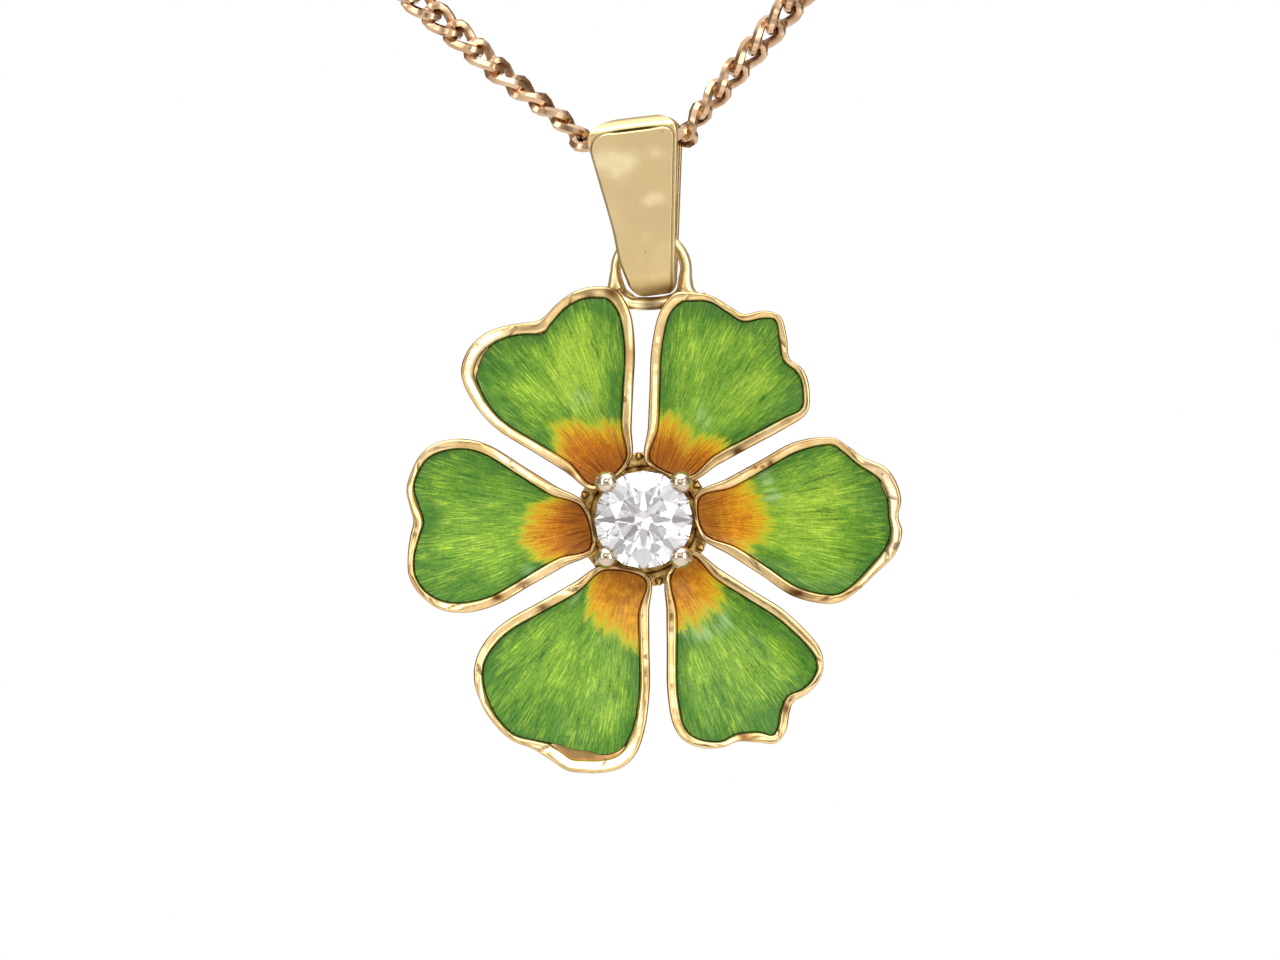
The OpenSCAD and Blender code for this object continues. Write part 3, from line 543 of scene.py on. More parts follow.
def whole_turn(count):
    """Angles evenly spaced round a whole turn."""
    return np.linspace(0, 2 * np.pi, count, endpoint=False)


def revolved(profile, count):
    """A closed profile of distance and height, carried round the flower's axis: the distance times
    the cosine and sine of the bearing, at the profile's height."""
    bearing = whole_turn(count)
    distance, height = (profile[:, None, axis] * np.ones(count) for axis in (0, 1))
    return distance * np.cos(bearing), height, distance * np.sin(bearing)


def rounded(corners, radius, steps=4):
    """Closed outline through the corners with each one rounded: a quadratic curve from one radius
    before the corner to one radius after it."""
    corners = np.array(corners, float)
    t = np.linspace(0, 1, steps)[None, :, None]
    before, after = (corners + radius * unit(np.roll(corners, shift, axis=0) - corners)
                     for shift in (1, -1))
    curve = (1 - t) ** 2 * before[:, None] + 2 * t * (1 - t) * corners[:, None] + t ** 2 * after[:, None]
    return curve.reshape(-1, 2)


def matt_gold(start):
    """Cast gold that polishing doesn't reach: dark in its pits, rough and grainy."""
    pits = start.noise(2600, 4.0)
    return {
        "Base Color": pits.rise(0.3, 0.6).mix(srgb(112, 72, 34), srgb(226, 190, 116)),
        "Roughness": 0.26 + 0.2 * pits,
        "Normal": start.bump(pits, 0.12 * MM),
    }


hub_gold = new_material("hub_gold", matt_gold, Metallic=1.0)
disc = rounded([(HUB_BORE_R, 0), (HUB_R, 0), (HUB_R, HUB_T), (SEAT_R, HUB_T), (SEAT_R, SEAT_HEIGHT),
                (HUB_BORE_R, SEAT_HEIGHT)], 0.08)
hub = build("hub", in_row_frame(*revolved(disc, 96)), "flower", "yellow_gold", "ring", sharp=50)
turn = np.radians(SOLDER_BEARINGS)[:, None, None]
rise, round_it = np.radians(spread(-80, 80, 9))[None], whole_turn(13)[None, None]
lump = SOLDER_R * (1 + SOLDER_UNEVEN * np.sin(3 * round_it + 5 * turn) * np.cos(rise))
solder = in_row_frame(
    SOLDER_AT * np.cos(turn) + lump * np.cos(rise) * np.cos(round_it),
    HUB_T + SOLDER_LIFT + SOLDER_TALL * lump * np.sin(rise) + 0 * round_it,
    SOLDER_AT * np.sin(turn) + lump * np.cos(rise) * np.sin(round_it),
)
solder_beads = build("solder_beads", solder, "flower", "yellow_gold")
for piece in (hub, solder_beads):
    piece.data.materials.append(hub_gold)
    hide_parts("flower_frame")

# Hanging ring. A ring of round gold wire behind the bail, whose two legs flare into the rims of the
# upper petals, with a short bar soldered across between them.
RING_AT, RING_R, WIRE_R = (0.3, 10.2), 1.44, 0.24
# The wire is thinner on the left, where it would otherwise meet the bail as the flower swings
LEFT_THIN = 0.03
# Each leg from its foot up: height, distance of its middle from the ring's, radius of the wire
LEFT_LEG = [[8.75, 1.4, 0.85], [9.05, 1.38, 0.76], [9.25, 1.4, 0.58],
            [9.4, 1.41, 0.42], [9.6, 1.42, 0.34], [9.9, 1.44, 0.27]]
RIGHT_LEG = [[8.75, 1.6, 0.85], [9.0, 1.45, 0.72], [9.15, 1.44, 0.58],
             [9.3, 1.42, 0.44], [9.5, 1.41, 0.34], [9.9, 1.41, 0.28]]
# How fast the legs flatten from front to back as they widen, and the flattest that they get
LEG_FLATTENS, LEG_FLATTEST = 2.2, 0.3
BAR_HEIGHT, BAR_R, BAR_FLARE = 8.83, 0.27, 0.2
# How far the bar's ends curve up, and its straight slant on the right
BAR_LEFT_RISE, BAR_RIGHT_RISE, BAR_SLANT = 0.4, 0.3, 0.11
HANG_HEIGHT = 1.3
WIRE_SIDES = 20


def tube(path, radius, sides, across, deep=1.0):
    """A round section carried along paths: at each point, the radius times the cosine along one
    direction at right angles to the path, plus the radius times deep times the sine along the other.
    across is roughly the first direction."""
    ahead = unit(np.gradient(path, axis=-2))
    second = unit(np.cross(ahead, np.broadcast_to(across, path.shape)))
    first = np.cross(second, ahead)
    angle = whole_turn(sides)[:, None]
    radius, deep = (np.broadcast_to(size, path.shape[:-1])[..., None, None] for size in (radius, deep))
    section = np.cos(angle) * first[..., None, :] + deep * np.sin(angle) * second[..., None, :]
    return path[..., None, :] + radius * section


def ring_path():
    """Up the left leg, over the half circle and down the right leg: distance from the ring's middle
    line, height, and thickness of the wire, interpolated between the legs' rows."""
    legs = []
    for rows, side in ((LEFT_LEG, -1), (RIGHT_LEG, 1)):
        up = np.linspace(rows[0][0], RING_AT[1], 22)[:-1]
        rows = np.array(rows + [[RING_AT[1], RING_R, WIRE_R - LEFT_THIN * (side < 0)]])
        reach, wire = (np.interp(up, rows[:, 0], rows[:, axis]) for axis in (1, 2))
        legs.append(np.column_stack([side * reach, up, wire]))
    turn = np.linspace(np.pi, 0, 33)
    wire = WIRE_R - LEFT_THIN * np.clip(-np.cos(turn), 0, 1)
    arch = np.column_stack([RING_R * np.cos(turn), RING_AT[1] + RING_R * np.sin(turn), wire])
    return np.concatenate([legs[0], arch, legs[1][::-1]])


side, up, wire = ring_path().T
ring_line = in_row_frame(RING_AT[0] + side, HANG_HEIGHT + 0 * up, up)
flatness = np.maximum(LEG_FLATTEST, 1.0 - LEG_FLATTENS * (wire - WIRE_R))
ring_grid = tube(ring_line, wire * MM, WIRE_SIDES, (1, 0, 0.001), flatness)
# Painted shadow browns the feet, the left one more, and painted shade darkens the bar except on each side
# of its middle
shadow_at_feet = (np.where(side < 0, 0.9, 0.4) * np.exp(-np.maximum(0, up - 8.9) / 0.2))[:, None]
hanging_ring = build("hanging_ring", ring_grid, "flower", "yellow_gold", tarnish=shadow_at_feet)
side = np.linspace(-1, 1, 21)
rise = np.where(side < 0, BAR_LEFT_RISE, BAR_RIGHT_RISE) * side ** 4 + BAR_SLANT * np.maximum(side, 0)
bar_line = in_row_frame(RING_AT[0] + side * RING_R, HANG_HEIGHT + 0 * side, BAR_HEIGHT + rise)
bar_grid = tube(bar_line, (BAR_R + BAR_FLARE * side ** 4) * MM, WIRE_SIDES, (0, 1, 0))
# Painted shade on the bar, left out on each side of its middle
bar_shade = (0.85 - 1.2 * np.exp(-((np.abs(side) - 0.55) / 0.3) ** 2))[:, None]
bar = build("ring_bar", bar_grid, "flower", "yellow_gold", tarnish=bar_shade)
# Painted light: the ring's yellow gold is paler and brighter than the petals' same gold
ring_gold_painted_light = polished_gold("ring_gold_painted_light", (1, 0.86, 0.5, 1), (0.95, 0.76, 0.4, 1), 0.3, nick=0.1)
for piece in (hanging_ring, bar):
    piece.data.materials.append(ring_gold_painted_light)
    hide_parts("flower_frame")

# Claw setting. A white gold basket: a collar in the hub's seat, a gallery wire, and four claws that
# lean out to the stone's girdle and end in polished round heads bent over it.
GIRDLE_HEIGHT, CLAW_AT = 2.95, 2.15
CLAW_FOOT_AT, CLAW_FOOT_HEIGHT, CLAW_R, CLAW_TAPER = 1.68, 0.8, 0.3, 0.12
CLAW_HEAD_R, HEAD_FLAT, HEAD_BELOW = 0.48, 0.94, 0.42
COLLAR_R, COLLAR_TOP, COLLAR_GAP = 1.9, 1.18, 0.03
GALLERY_HEIGHT, GALLERY_R = 2.0, 0.2


def claws():
    """Four bodies of revolution about leaning axes. The radius follows a shaft that narrows upward,
    then a slightly flat ball: its radius times the cosine of the latitude."""
    foot = np.array([CLAW_FOOT_AT, CLAW_FOOT_HEIGHT])
    head = np.array([CLAW_AT, GIRDLE_HEIGHT])
    length = np.linalg.norm(head - foot)
    lean = (head - foot) / length
    latitude = np.radians(np.linspace(-52, 88, 18))
    shaft = np.linspace(0, length - HEAD_BELOW, 8)
    height = np.concatenate([shaft, length + HEAD_FLAT * CLAW_HEAD_R * np.sin(latitude)])
    narrow = CLAW_R * (1 - CLAW_TAPER * shaft / length)
    radius = np.concatenate([narrow, CLAW_HEAD_R * np.cos(latitude)])[:, None]
    angle = whole_turn(28)
    out = foot[0] + height[:, None] * lean[0] + radius * np.cos(angle) * lean[1]
    high = foot[1] + height[:, None] * lean[1] - radius * np.cos(angle) * lean[0]
    beside_it = radius * np.sin(angle)
    bearing = np.radians([45, 135, 225, 315])[:, None, None]
    return in_row_frame(
        out * np.cos(bearing) - beside_it * np.sin(bearing), high + 0 * bearing,
        out * np.sin(bearing) + beside_it * np.cos(bearing))


white_gold = polished_gold("white_gold", (0.64, 0.54, 0.43, 1), (0.46, 0.37, 0.28, 1), 0.1)
collar_foot = SEAT_HEIGHT + COLLAR_GAP
collar = rounded([(HUB_BORE_R, collar_foot), (COLLAR_R, collar_foot), (COLLAR_R, COLLAR_TOP),
                  (HUB_BORE_R, COLLAR_TOP)], 0.1)
angle = whole_turn(20)
gallery = np.column_stack([CLAW_FOOT_AT + GALLERY_R * np.cos(angle),
                           GALLERY_HEIGHT + GALLERY_R * np.sin(angle)])
for piece in (
    build("claws", claws(), "flower", "white_gold"),
    build("setting_collar", in_row_frame(*revolved(collar, 72)), "flower", "white_gold", "ring", sharp=50),
    build("setting_gallery", in_row_frame(*revolved(gallery, 72)), "flower", "white_gold", "ring"),
):
    piece.data.materials.append(white_gold)
    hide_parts("claw_setting")

# Stone. A round brilliant of clear, colourless stone with polished facets, held at its girdle by the
# claws. The CAD solid has every facet, so it stays and gets a material alone.
def clear_stone(start):
    """The polish alone varies, by a hair."""
    return {"Roughness": 0.015 * start.noise(2500).rise(0.5, 0.8)}


stone = frame["nodes"]["stone"]
stone.data.materials.clear()
stone.data.materials.append(new_material("clear_stone", clear_stone, Transmission_Weight=0.9, IOR=2.42,
                                          Base_Color=(0.95, 0.94, 0.98, 1)))

# Bail. A strip of yellow gold bent into a long drop that hangs from the chain and holds the ring in
# its narrow tip. Its front is a flat panel with round upper corners, set off by a fine dark line.
TIP_AT = (0.45, 9.22)
BAIL_LEN, BAIL_TOP_W, BAIL_TIP_W, BAIL_T, BAIL_DEPTH = 7.3, 3.75, 1.95, 0.4, 3.9
TIP_R, SHOULDER_R, SHOULDER_RISE = 1.05, 0.85, 0.57
TIP_ROUND, LEFT_TIP_CUT, RIGHT_TIP_CUT = 0.6, 0.5, 0.3
BAIL_LEAN, BAIL_TURN = np.radians(7.1), np.radians(3.5)
TOP_CORNER, LEFT_CUT, RIGHT_CUT = 0.85, 1.3, 0.75
LEFT_BULGE, BULGE_UP, BULGE_HALF_H = 0.11, 1.5, 0.9
# The strip is thinner over the chain, on its outer and its inner face, so that it can swing
TOP_THIN, INNER_THIN = 0.1, 0.05
EDGE_R, CROWN = 0.1, 0.05
ACROSS_STEPS = 61
# The panel on the front: how far it stays inside the strip, and the round of its corners
PANEL_TOP, PANEL_RIGHT, PANEL_LEFT = 0.57, 0.13, 0.04
PANEL_RIGHT_R, PANEL_LEFT_R = 0.5, 0.8
# Painted reflections on the panel, soft bright patches: across, up, half width, half height, strength
REFLECTION_PATCHES = [(-1.15, 5.6, 0.8, 0.7, 1.1), (-0.2, 5.4, 0.5, 0.5, 0.9), (0.5, 3.85, 0.6, 0.35, 0.9),
           (0, 2.35, 0.4, 0.35, 0.8), (0.9, 5.6, 0.5, 0.5, 0.85), (-0.4, 1.8, 0.3, 0.3, 0.4)]
chain_hinge = frame["joints"][0]
hang_y = chain_hinge["pos_m"][1]


def bail_side():
    """Side view of the strip's outer face as points and outward directions, forward and up, from the
    tip round the front: arcs round the tip and both shoulders, with straight lines between. Each arc
    is a quarter of an ellipse or less: the point that faces a way is the squared radii times the way,
    over the length of the radii times the way. The front shoulder is low, so the panel stays flat."""
    reach, rise = BAIL_DEPTH / 2 - SHOULDER_R, BAIL_LEN - SHOULDER_R - TIP_R
    slope = np.arctan2(reach, rise) + np.arcsin((SHOULDER_R - TIP_R) / np.hypot(reach, rise))
    arcs = [
        (0, TIP_R, TIP_R, -np.pi / 2, -slope, 24),
        (reach, BAIL_LEN - SHOULDER_RISE, SHOULDER_RISE, -slope, np.pi / 2, 40),
        (-reach, BAIL_LEN - SHOULDER_R, SHOULDER_R, np.pi / 2, np.pi + slope, 20),
        (0, TIP_R, TIP_R, np.pi + slope, 3 * np.pi / 2, 24),
    ]
    points, ways = [], []
    for forward, up, tall, start, stop, count in arcs:
        angle = np.linspace(start, stop, count)
        way = np.column_stack([np.cos(angle), np.sin(angle)])
        radii = np.array([TIP_R if up == TIP_R else SHOULDER_R, tall])
        points.append([forward, up] + radii ** 2 * way / np.linalg.norm(radii * way, axis=1)[:, None])
        ways.append(way)
    for gap, count in ((2, 30), (1, 12), (0, 60)):
        share = spread(0, 1, count + 2)[1:-1]
        line = points[gap][-1] + share * (points[gap + 1][0] - points[gap][-1])
        points.insert(gap + 1, line)
        ways.insert(gap + 1, np.repeat(ways[gap][-1:], count, 0))
    return np.concatenate(points)[:-1], np.concatenate(ways)[:-1]


def bail_width(up, cut, tip_cut, bulge):
    """Half width of the strip at a height: a straight taper with a low bulge (a bell curve), rounded
    off at the top and at the tip by a quarter of an ellipse."""
    taper = np.clip((up - TIP_ROUND) / (BAIL_LEN - TOP_CORNER - TIP_ROUND), 0, 1)
    half = (BAIL_TIP_W + (BAIL_TOP_W - BAIL_TIP_W) * taper) / 2
    half = half + bulge * np.exp(-((up - BULGE_UP) / BULGE_HALF_H) ** 2)
    above = np.clip((up - BAIL_LEN) / TOP_CORNER + 1, 0, 1)
    below = np.clip(1 - up / TIP_ROUND, 0, 1)
    return half - cut * (1 - np.sqrt(1 - above ** 2)) - tip_cut * (1 - np.sqrt(1 - below ** 2))


def rounded_box(to_side, to_top, radius):
    """Distance outside a box's rounded corner, given the distances beyond its side and its top."""
    corner = np.stack([to_side, to_top]) + radius
    return np.minimum(corner.max(0), 0) + np.linalg.norm(np.maximum(corner, 0), axis=0) - radius


def bail_grid():
    """The strip's section, a bar with round edges, carried round the side view: across between the
    two widths, and into the thickness from the outer face, which is crowned by 1 less the square of
    the place across. Distances from the panel's edge and what else colours the gold go with it."""
    outer, way = bail_side()
    up = outer[:, 1:]
    left = bail_width(up, LEFT_CUT, LEFT_TIP_CUT, LEFT_BULGE)
    right = bail_width(up, RIGHT_CUT, RIGHT_TIP_CUT, 0)
    share = np.linspace(0, 1, ACROSS_STEPS)
    bend = np.radians(np.linspace(0, 180, 9))[1:-1]
    inside = (-left + EDGE_R) + share * (left + right - 2 * EDGE_R)
    across = np.concatenate([
        inside, right - EDGE_R + EDGE_R * np.sin(bend), inside[:, ::-3],
        -left + EDGE_R - EDGE_R * np.sin(bend)[::-1],
    ], axis=1)
    edge = BAIL_T / 2 * (1 - np.cos(bend))
    depth = np.concatenate([0 * share, edge, BAIL_T + 0 * share[::3], edge[::-1]])[None]
    over_chain = np.clip(way[:, 1:], 0, 1) ** 2
    depth = depth * (1 - INNER_THIN / BAIL_T * over_chain)
    to_top = up - (BAIL_LEN - PANEL_TOP) + 0 * across
    on_right = rounded_box(PANEL_RIGHT - (right - across), to_top, PANEL_RIGHT_R)
    on_left = rounded_box(PANEL_LEFT - (left + across), to_top, PANEL_LEFT_R)
    outer_face = depth < 0.4 * BAIL_T
    facing = (way[:, :1] > -0.2) * outer_face
    values = {
        # The spots give the panel's painted reflections, and the crest the place of a painted highlight
        "panel": np.maximum(on_right, on_left), "front": facing, "low": np.exp(-(up / 1.1) ** 2),
        "painted_reflection": spots(across, up, REFLECTION_PATCHES), "crest": np.clip(to_top / 0.08, 0, 1) * facing,
        "bold": np.exp(-((across - 0.1) / 1.0) ** 6) * np.exp(-(to_top / 0.2) ** 2),
    }
    crown = CROWN * (1 - (across / (BAIL_TOP_W / 2)) ** 2) - TOP_THIN * over_chain
    depth = depth - crown * outer_face
    x, y, z = across, -(outer[:, :1] - depth * way[:, :1]), up - depth * way[:, 1:]
    x, y = x * np.cos(BAIL_TURN) + y * np.sin(BAIL_TURN), y * np.cos(BAIL_TURN) - x * np.sin(BAIL_TURN)
    x, z = x * np.cos(BAIL_LEAN) - z * np.sin(BAIL_LEAN), x * np.sin(BAIL_LEAN) + z * np.cos(BAIL_LEAN)
    grid = np.stack([flower_x + (TIP_AT[0] + x) * MM, hang_y + y * MM,
                     flower_z + (TIP_AT[1] + z) * MM], -1)
    return grid, values


def bail_gold(start):
    """Pale polished gold with broad cloudy patches of painted reflection, a painted highlight over the
    crest, duller by the tip, and darkened in the fine line round the panel."""
    painted_reflection, low, bold = (start.value(label) for label in ("painted_reflection", "low", "bold"))
    # Painted reflections: bright cloudy patches from the table, and fainter ones all over the panel
    clouds = (painted_reflection + 1.6 * (start.noise(1100, 3.0) - 0.5)).rise(0.2, 1.5)
    clouds = clouds * painted_reflection.rise(0.0, 0.4) + start.noise(450, 2.0).rise(0.5, 0.8) * 0.35
    specks = start.noise(3500, 1.0).rise(0.72, 0.78) * 0.3
    smudge = low * (0.1 + 0.6 * start.noise(1500, 2.0)) + specks
    near = start.math("ABSOLUTE", start.value("panel")) * (1.0 - 0.4 * bold)
    line = near.rise(0.05, 0.02) * start.value("front") * (0.45 + 0.55 * bold)
    gold = clouds.mix((0.71, 0.54, 0.28, 1), (0.97, 0.83, 0.5, 1))
    # Painted highlight over the crest: paler gold above the panel's line
    gold = start.value("crest").mix(gold, (0.96, 0.8, 0.4, 1))
    return {
        "Base Color": line.mix(smudge.mix(gold, srgb(160, 130, 62)), srgb(58, 46, 18)),
        "Roughness": 0.3 + 0.1 * (start.noise(9000, 4.0) - 0.5) + 0.3 * line + 0.25 * low,
        "Normal": start.bump(0.15 * start.noise(500, 1.0) - 0.3 * near.rise(0.09, 0.0), 0.2 * MM),
    }


grid, values = bail_grid()
bail = build("bail_strip", grid, "bail", "yellow_gold", "ring", sharp=60, **values)
bail.data.materials.append(new_material("bail_gold", bail_gold, Metallic=1.0))
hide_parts("bail")

# Chain. A fine curb chain of rose gold: oval links of faceted wire, each given a half twist so that
# they lie flat in one another. It turns edge-on where it passes through the bail.
PITCH = 1.135
LINK_A, LINK_B, LINK_C, LINK_WIRE_R = 0.79, 0.445, -0.235, 0.21
LINK_POINTS, LINK_SIDES = 16, 6
# The chain's middle line, as the solid's: across, back and up from the middle of the bail, on the
# right side and on the left side of the loop, then behind on both sides, as far as the clasp
RIGHT_RUN = [
    [2.42, -0.12, 0.7], [3.82, -0.05, 2.4], [5.22, 0, 4.05], [6.6, 0, 5.7], [9.5, 0.2, 9.2],
    [14, 0.9, 14.2], [20, 2.6, 20.8], [26.5, 5.4, 28], [33.5, 9.6, 36], [40.5, 15.4, 44.4],
    [46.5, 23, 53], [51.5, 32.5, 62],
]
LEFT_RUN = [
    [-2.2, 0.13, 0.04], [-3.3, 0.08, 0.97], [-5.27, 0, 2.5], [-7.02, 0, 4.05], [-9.02, 0, 5.75],
    [-11.88, 0.3, 8.3], [-16.5, 1.2, 12.7], [-22, 3.2, 18.7], [-28.5, 6.4, 26.2], [-35, 11, 34.6],
    [-41.5, 16.6, 43.8], [-47, 23.8, 53], [-51.7, 32.8, 62],
]
BACK_RUN = [
    [55.3, 43.5, 70.5], [57, 56, 78.5], [56, 69, 85.5], [52, 81, 91], [45, 91, 95],
    [36, 98.3, 98], [26, 103, 99.8], [15, 106, 100.7], [8, 106.8, 100.95],
]
# Inside the bail: places along the hinge's line, and how far the chain sags below the solid's there
IN_BAIL, IN_BAIL_SAG = (-1.7, -1, 0, 1, 2.05), 0.15
CLASP_END, ROUTE_STEPS = 3.7, 40
# The chain's turn about its own line, in degrees, by its distance from the bail's middle, less than 0
# on the left
TWIST = [[-18, 0], [-9.5, -38], [-6, -62], [-3.2, -88], [2.2, -92], [3.2, -118], [5, -132],
         [9, -154], [18, -180]]


def chain_route():
    """Dense points on the chain's smooth middle line, from the left end round to the right, and the
    distance along it."""
    middle = np.array(chain_hinge["pos_m"]) / MM
    right = middle + np.array(RIGHT_RUN + BACK_RUN)
    left = middle + np.concatenate([LEFT_RUN, np.array(BACK_RUN) * [-1, 1, 1]])
    inside = middle + np.outer(IN_BAIL, chain_hinge["axis"]) - [0, 0, IN_BAIL_SAG]
    points = np.concatenate([[[-CLASP_END, 0, 0]], left[::-1], inside, right, [[CLASP_END, 0, 0]]])
    points = np.concatenate([2 * points[:1] - points[1:2], points, 2 * points[-1:] - points[-2:-1]])
    dense = closed_curve(points, ROUTE_STEPS)[ROUTE_STEPS:1 - 2 * ROUTE_STEPS]
    length = np.concatenate([[0], np.cumsum(np.linalg.norm(np.diff(dense, axis=0), axis=1))])
    return dense, length, middle


def chain_links():
    """Every link at once. In its own frame a link's middle line is an ellipse, a times the cosine
    along the chain and b times the sine across it, lifted by c times the sine of twice the angle, so
    that each end passes through the next link. A section of flat faces is carried round it. The frame
    of each link is the chain's direction, and two directions at right angles that turn along it.
    Painted shade darkens the inner side of the wire, where the links lie in one another."""
    dense, length, middle = chain_route()
    count = int(round(length[-1] / PITCH))
    places = (np.arange(count) + 0.5) * length[-1] / count
    at, slope = (np.stack([np.interp(places, length, column) for column in numbers.T], -1)
                 for numbers in (dense, np.gradient(dense, length, axis=0)))
    ahead = unit(slope)
    out = (at - [0, middle[1] / 2, 0]) * [1, 1, 0]
    out = unit(out - (out * ahead).sum(1)[:, None] * ahead)
    beside_it = np.cross(ahead, out)
    apart = np.linalg.norm(at - middle, axis=1) * np.sign(at[:, 0] - middle[0])
    far, turned = np.array(TWIST, float).T
    roll = np.radians(np.interp(apart, far, turned))[:, None]
    face = np.cos(roll) * out + np.sin(roll) * beside_it
    wide = np.cross(face, ahead)
    t = whole_turn(LINK_POINTS)
    line = np.column_stack([LINK_A * np.cos(t), LINK_B * np.sin(t), LINK_C * np.sin(2 * t)])
    run = unit(np.column_stack([-LINK_A * np.sin(t), LINK_B * np.cos(t), 2 * LINK_C * np.cos(2 * t)]))
    first = unit(np.cross(run, [0, 0, 1]))
    second = np.cross(first, run)
    angle = whole_turn(LINK_SIDES)[:, None] + np.pi / LINK_SIDES
    section = LINK_WIRE_R * (np.cos(angle) * first[:, None] + np.sin(angle) * second[:, None])
    link = line[:, None] + section
    within = np.linalg.norm(line[:, None, :2], axis=-1) - np.linalg.norm(link[..., :2], axis=-1)
    # Painted shade on the inner side of the wire
    tarnish = 0.9 * np.clip(within / LINK_WIRE_R, 0, 1) ** 1.5
    axes = np.stack([ahead, wide, face], 1)
    return (at[:, None, None] + np.einsum("pqj,njk->npqk", link, axes)) * MM, tarnish[None]


rose_gold = polished_gold("rose_gold", (0.7, 0.49, 0.32, 1), (0.54, 0.34, 0.2, 1), 0.16)
grid, inner = chain_links()
links = build("chain_links", grid, "chain", "rose_gold", "ring", sharp=42, tarnish=inner)
links.data.materials.append(rose_gold)
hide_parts("chain")

# Clasp. A spring ring of rose gold tube with a small thumb knob and two ribs where its gate closes.
# A jump ring on each side joins it to the last link of the chain.
CLASP_AT, CLASP_R = 2.25, 0.55
# The ribs: their bearings in degrees, their height, and their half width as an angle
RIBS, RIB_H, RIB_HALF_W = (60, 100), 0.06, 0.06
# The knob's radius at its middle, neck and head, and the heights of its foot, neck and head
KNOB_CORE_R, KNOB_NECK_R, KNOB_R = 0.02, 0.2, 0.35
KNOB_FOOT, KNOB_NECK_TOP, KNOB_RIM, KNOB_TOP = 0.3, 0.75, 0.85, 1.2
JUMP_AT, JUMP_R, JUMP_WIRE_R = 2.7, 1.22, 0.2

bearing = whole_turn(96)[:, None]
around = whole_turn(20)
near_rib = sum(np.exp(-(np.abs(bearing - rib) / RIB_HALF_W) ** 4) for rib in np.radians(RIBS))
wire = CLASP_R - RIB_H + RIB_H * near_rib
out = CLASP_AT + wire * np.cos(around)
spring_ring = np.stack([out * np.cos(bearing), out * np.sin(bearing), wire * np.sin(around)], -1)
knob_out, knob_up = rounded([
    (KNOB_CORE_R, KNOB_FOOT), (KNOB_NECK_R, KNOB_FOOT), (KNOB_NECK_R, KNOB_NECK_TOP),
    (KNOB_R, KNOB_RIM), (KNOB_R, KNOB_TOP), (KNOB_CORE_R, KNOB_TOP)], 0.07).T[..., None]
knob = np.stack([
    CLASP_AT * np.cos(np.radians(RIBS[0])) + knob_out * np.cos(around),
    CLASP_AT * np.sin(np.radians(RIBS[0])) + knob_out * np.sin(around), knob_up + 0 * around], -1)
side = np.array([-1, 1])[:, None, None]
out = JUMP_R + JUMP_WIRE_R * np.cos(around)
bearing = bearing[::2]
jump_rings = np.stack(np.broadcast_arrays(
    side * JUMP_AT + out * np.cos(bearing), JUMP_WIRE_R * np.sin(around), out * np.sin(bearing)), -1)
for name, grid in (("clasp_ring", spring_ring), ("clasp_knob", knob), ("jump_rings", jump_rings)):
    piece = build(name, grid * MM, "chain", "rose_gold", "ring", sharp=50, tarnish=0.1)
    piece.data.materials.append(rose_gold)
    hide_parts("clasp")

# Studio. The pendant hangs free in front of a white ground, with the floor well below it, between
# large soft lights. The camera is level and far off with a long lens, as in the photograph. Sizes in
# this section are in metres.
PIXEL = 0.041 * MM
IMAGE_WIDTH, IMAGE_HEIGHT = 1280, 960
STONE_AT_PIXEL = (643.5, 519.5)
CAMERA_DISTANCE = 0.5
SENSOR = 36.0
camera = bpy.data.objects.new("camera", bpy.data.cameras.new("camera"))
bpy.context.scene.collection.objects.link(camera)
bpy.context.scene.camera = camera
camera.location = (
    flower_x + (IMAGE_WIDTH / 2 - STONE_AT_PIXEL[0]) * PIXEL,
    flower_back - CAMERA_DISTANCE,
    flower_z + (STONE_AT_PIXEL[1] - IMAGE_HEIGHT / 2) * PIXEL,
)
camera.rotation_euler = (np.pi / 2, 0, 0)
camera.data.sensor_width = SENSOR
camera.data.lens = SENSOR * CAMERA_DISTANCE / (IMAGE_WIDTH * PIXEL)
camera.data.clip_start, camera.data.clip_end = 0.01, 50

FLOOR_Z, FLOOR_R, FLOOR_SIDES = -0.45, 2.4, 64


def pale_ground(start):
    """Matt white with a very faint clouding."""
    return {"Base Color": start.noise(3).mix((0.86, 0.86, 0.85, 1), (0.9, 0.9, 0.89, 1))}


bearing = whole_turn(FLOOR_SIDES)
rim = np.column_stack([FLOOR_R * np.cos(bearing), FLOOR_R * np.sin(bearing), FLOOR_Z + 0 * bearing])
floor_mesh = bpy.data.meshes.new("floor")
floor_mesh.from_pydata(rim, [], [list(range(FLOOR_SIDES))])
floor_mesh.materials.append(new_material("pale_floor", pale_ground, Roughness=0.9))
floor = bpy.data.objects.new("floor", floor_mesh)
bpy.context.scene.collection.objects.link(floor)

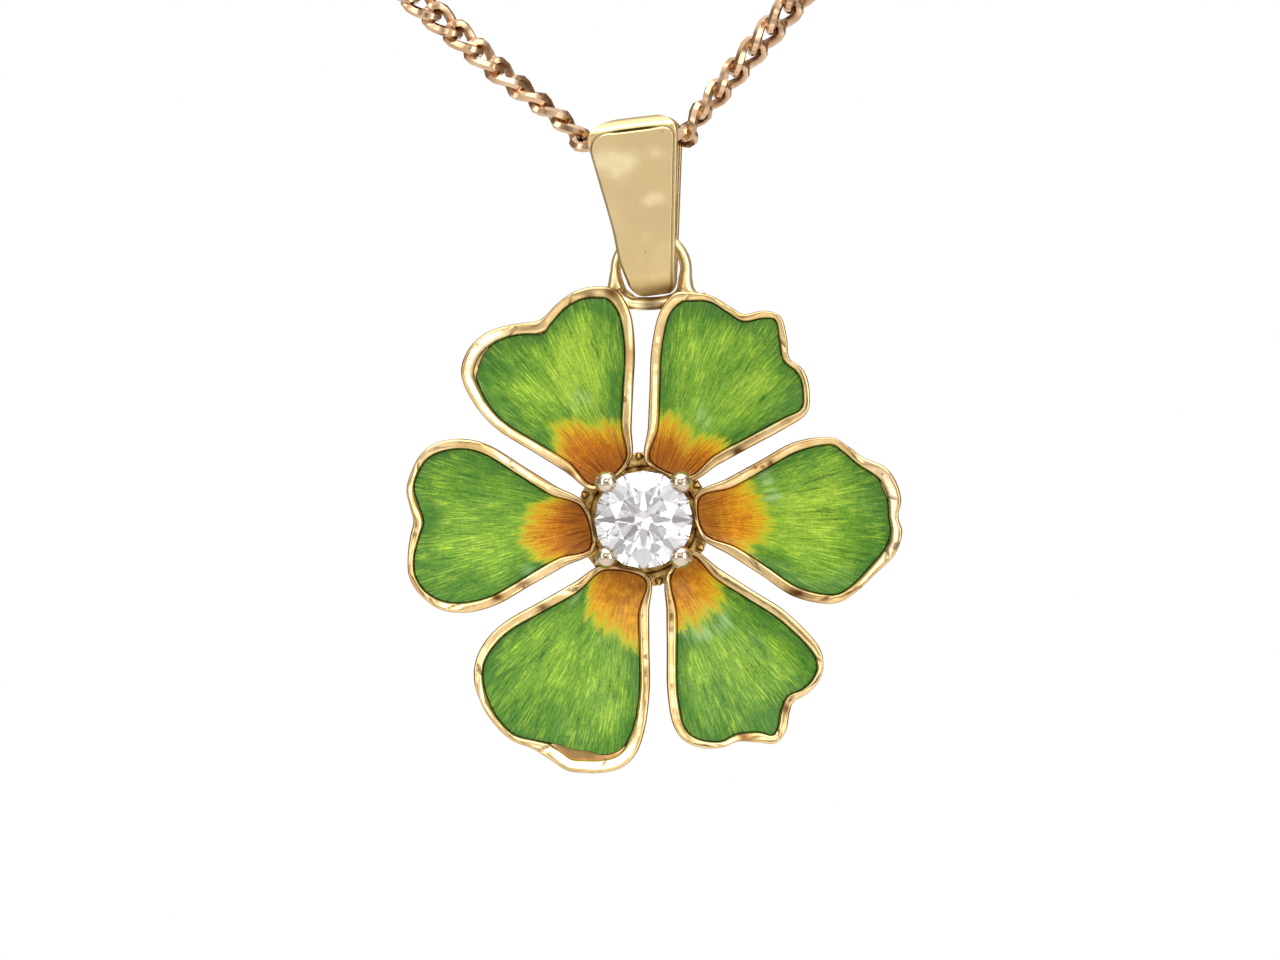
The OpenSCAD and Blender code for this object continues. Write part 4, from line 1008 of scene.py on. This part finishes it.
# Soft lights: place, width and height, brightness and tint, each turned toward the flower
LIGHTS = {
    "top": ((0, -0.3, 0.6), (0.8, 0.5), 2.4, (1, 1, 1)),
    "left": ((-0.42, -0.42, 0.1), (0.2, 0.5), 1.8, (1, 0.99, 0.97)),
    "right": ((0.38, -0.45, 0.05), (0.24, 0.5), 3.0, (1, 0.99, 0.97)),
    "front": ((-0.12, -0.75, 0.2), (0.3, 0.16), 1.9, (1, 1, 1)),
    "under": ((0.05, -0.42, -0.42), (0.5, 0.4), 0.8, (1, 0.98, 0.95)),
}
for label, (place, size, radiance, tint) in LIGHTS.items():
    lamp = bpy.data.lights.new(label, "AREA")
    lamp.shape = "RECTANGLE"
    lamp.size, lamp.size_y = size
    lamp.energy = radiance * np.pi * size[0] * size[1]
    lamp.color = tint
    light = bpy.data.objects.new(label, lamp)
    bpy.context.scene.collection.objects.link(light)
    light.location = (flower_x + place[0], flower_back + place[1], flower_z + place[2])
    aim = np.array([flower_x, flower_back, flower_z]) - np.array(light.location)
    light.rotation_euler = Vector(aim).to_track_quat("-Z", "Y").to_euler()
    light.visible_camera = False

# The room behind the lights: bright above and in front of the pendant, dim brown behind and beside it
world = bpy.data.worlds.new("room")
bpy.context.scene.world = world
world.use_nodes = True
room = Link(world.node_tree)
direction = room.node("TexCoord", output="Generated")
toward, upward = (room.node("SeparateXYZ", None, {0: direction}, axis) for axis in (1, 2))
panels = room.noise(2.6, 1.0, direction)
glow = panels.rise(0.5, 0.6).mix((0.58, 0.57, 0.55, 1), (1.25, 1.24, 1.22, 1))
glow = panels.rise(0.45, 0.38).mix(glow, (0.22, 0.2, 0.18, 1))
glow = (toward * -1.0).rise(0.1, 0.65).mix((0.3, 0.25, 0.2, 1), glow)
glow = upward.rise(0.5, 0.8).mix(glow, (1.2, 1.2, 1.2, 1))
seen = room.node("LightPath", output="Is Camera Ray")
shade = seen.mix(glow, (1, 1, 1, 1))
world.node_tree.links.new(shade.socket, world.node_tree.nodes["Background"].inputs["Color"])
bpy.context.scene.view_settings.view_transform = "Standard"
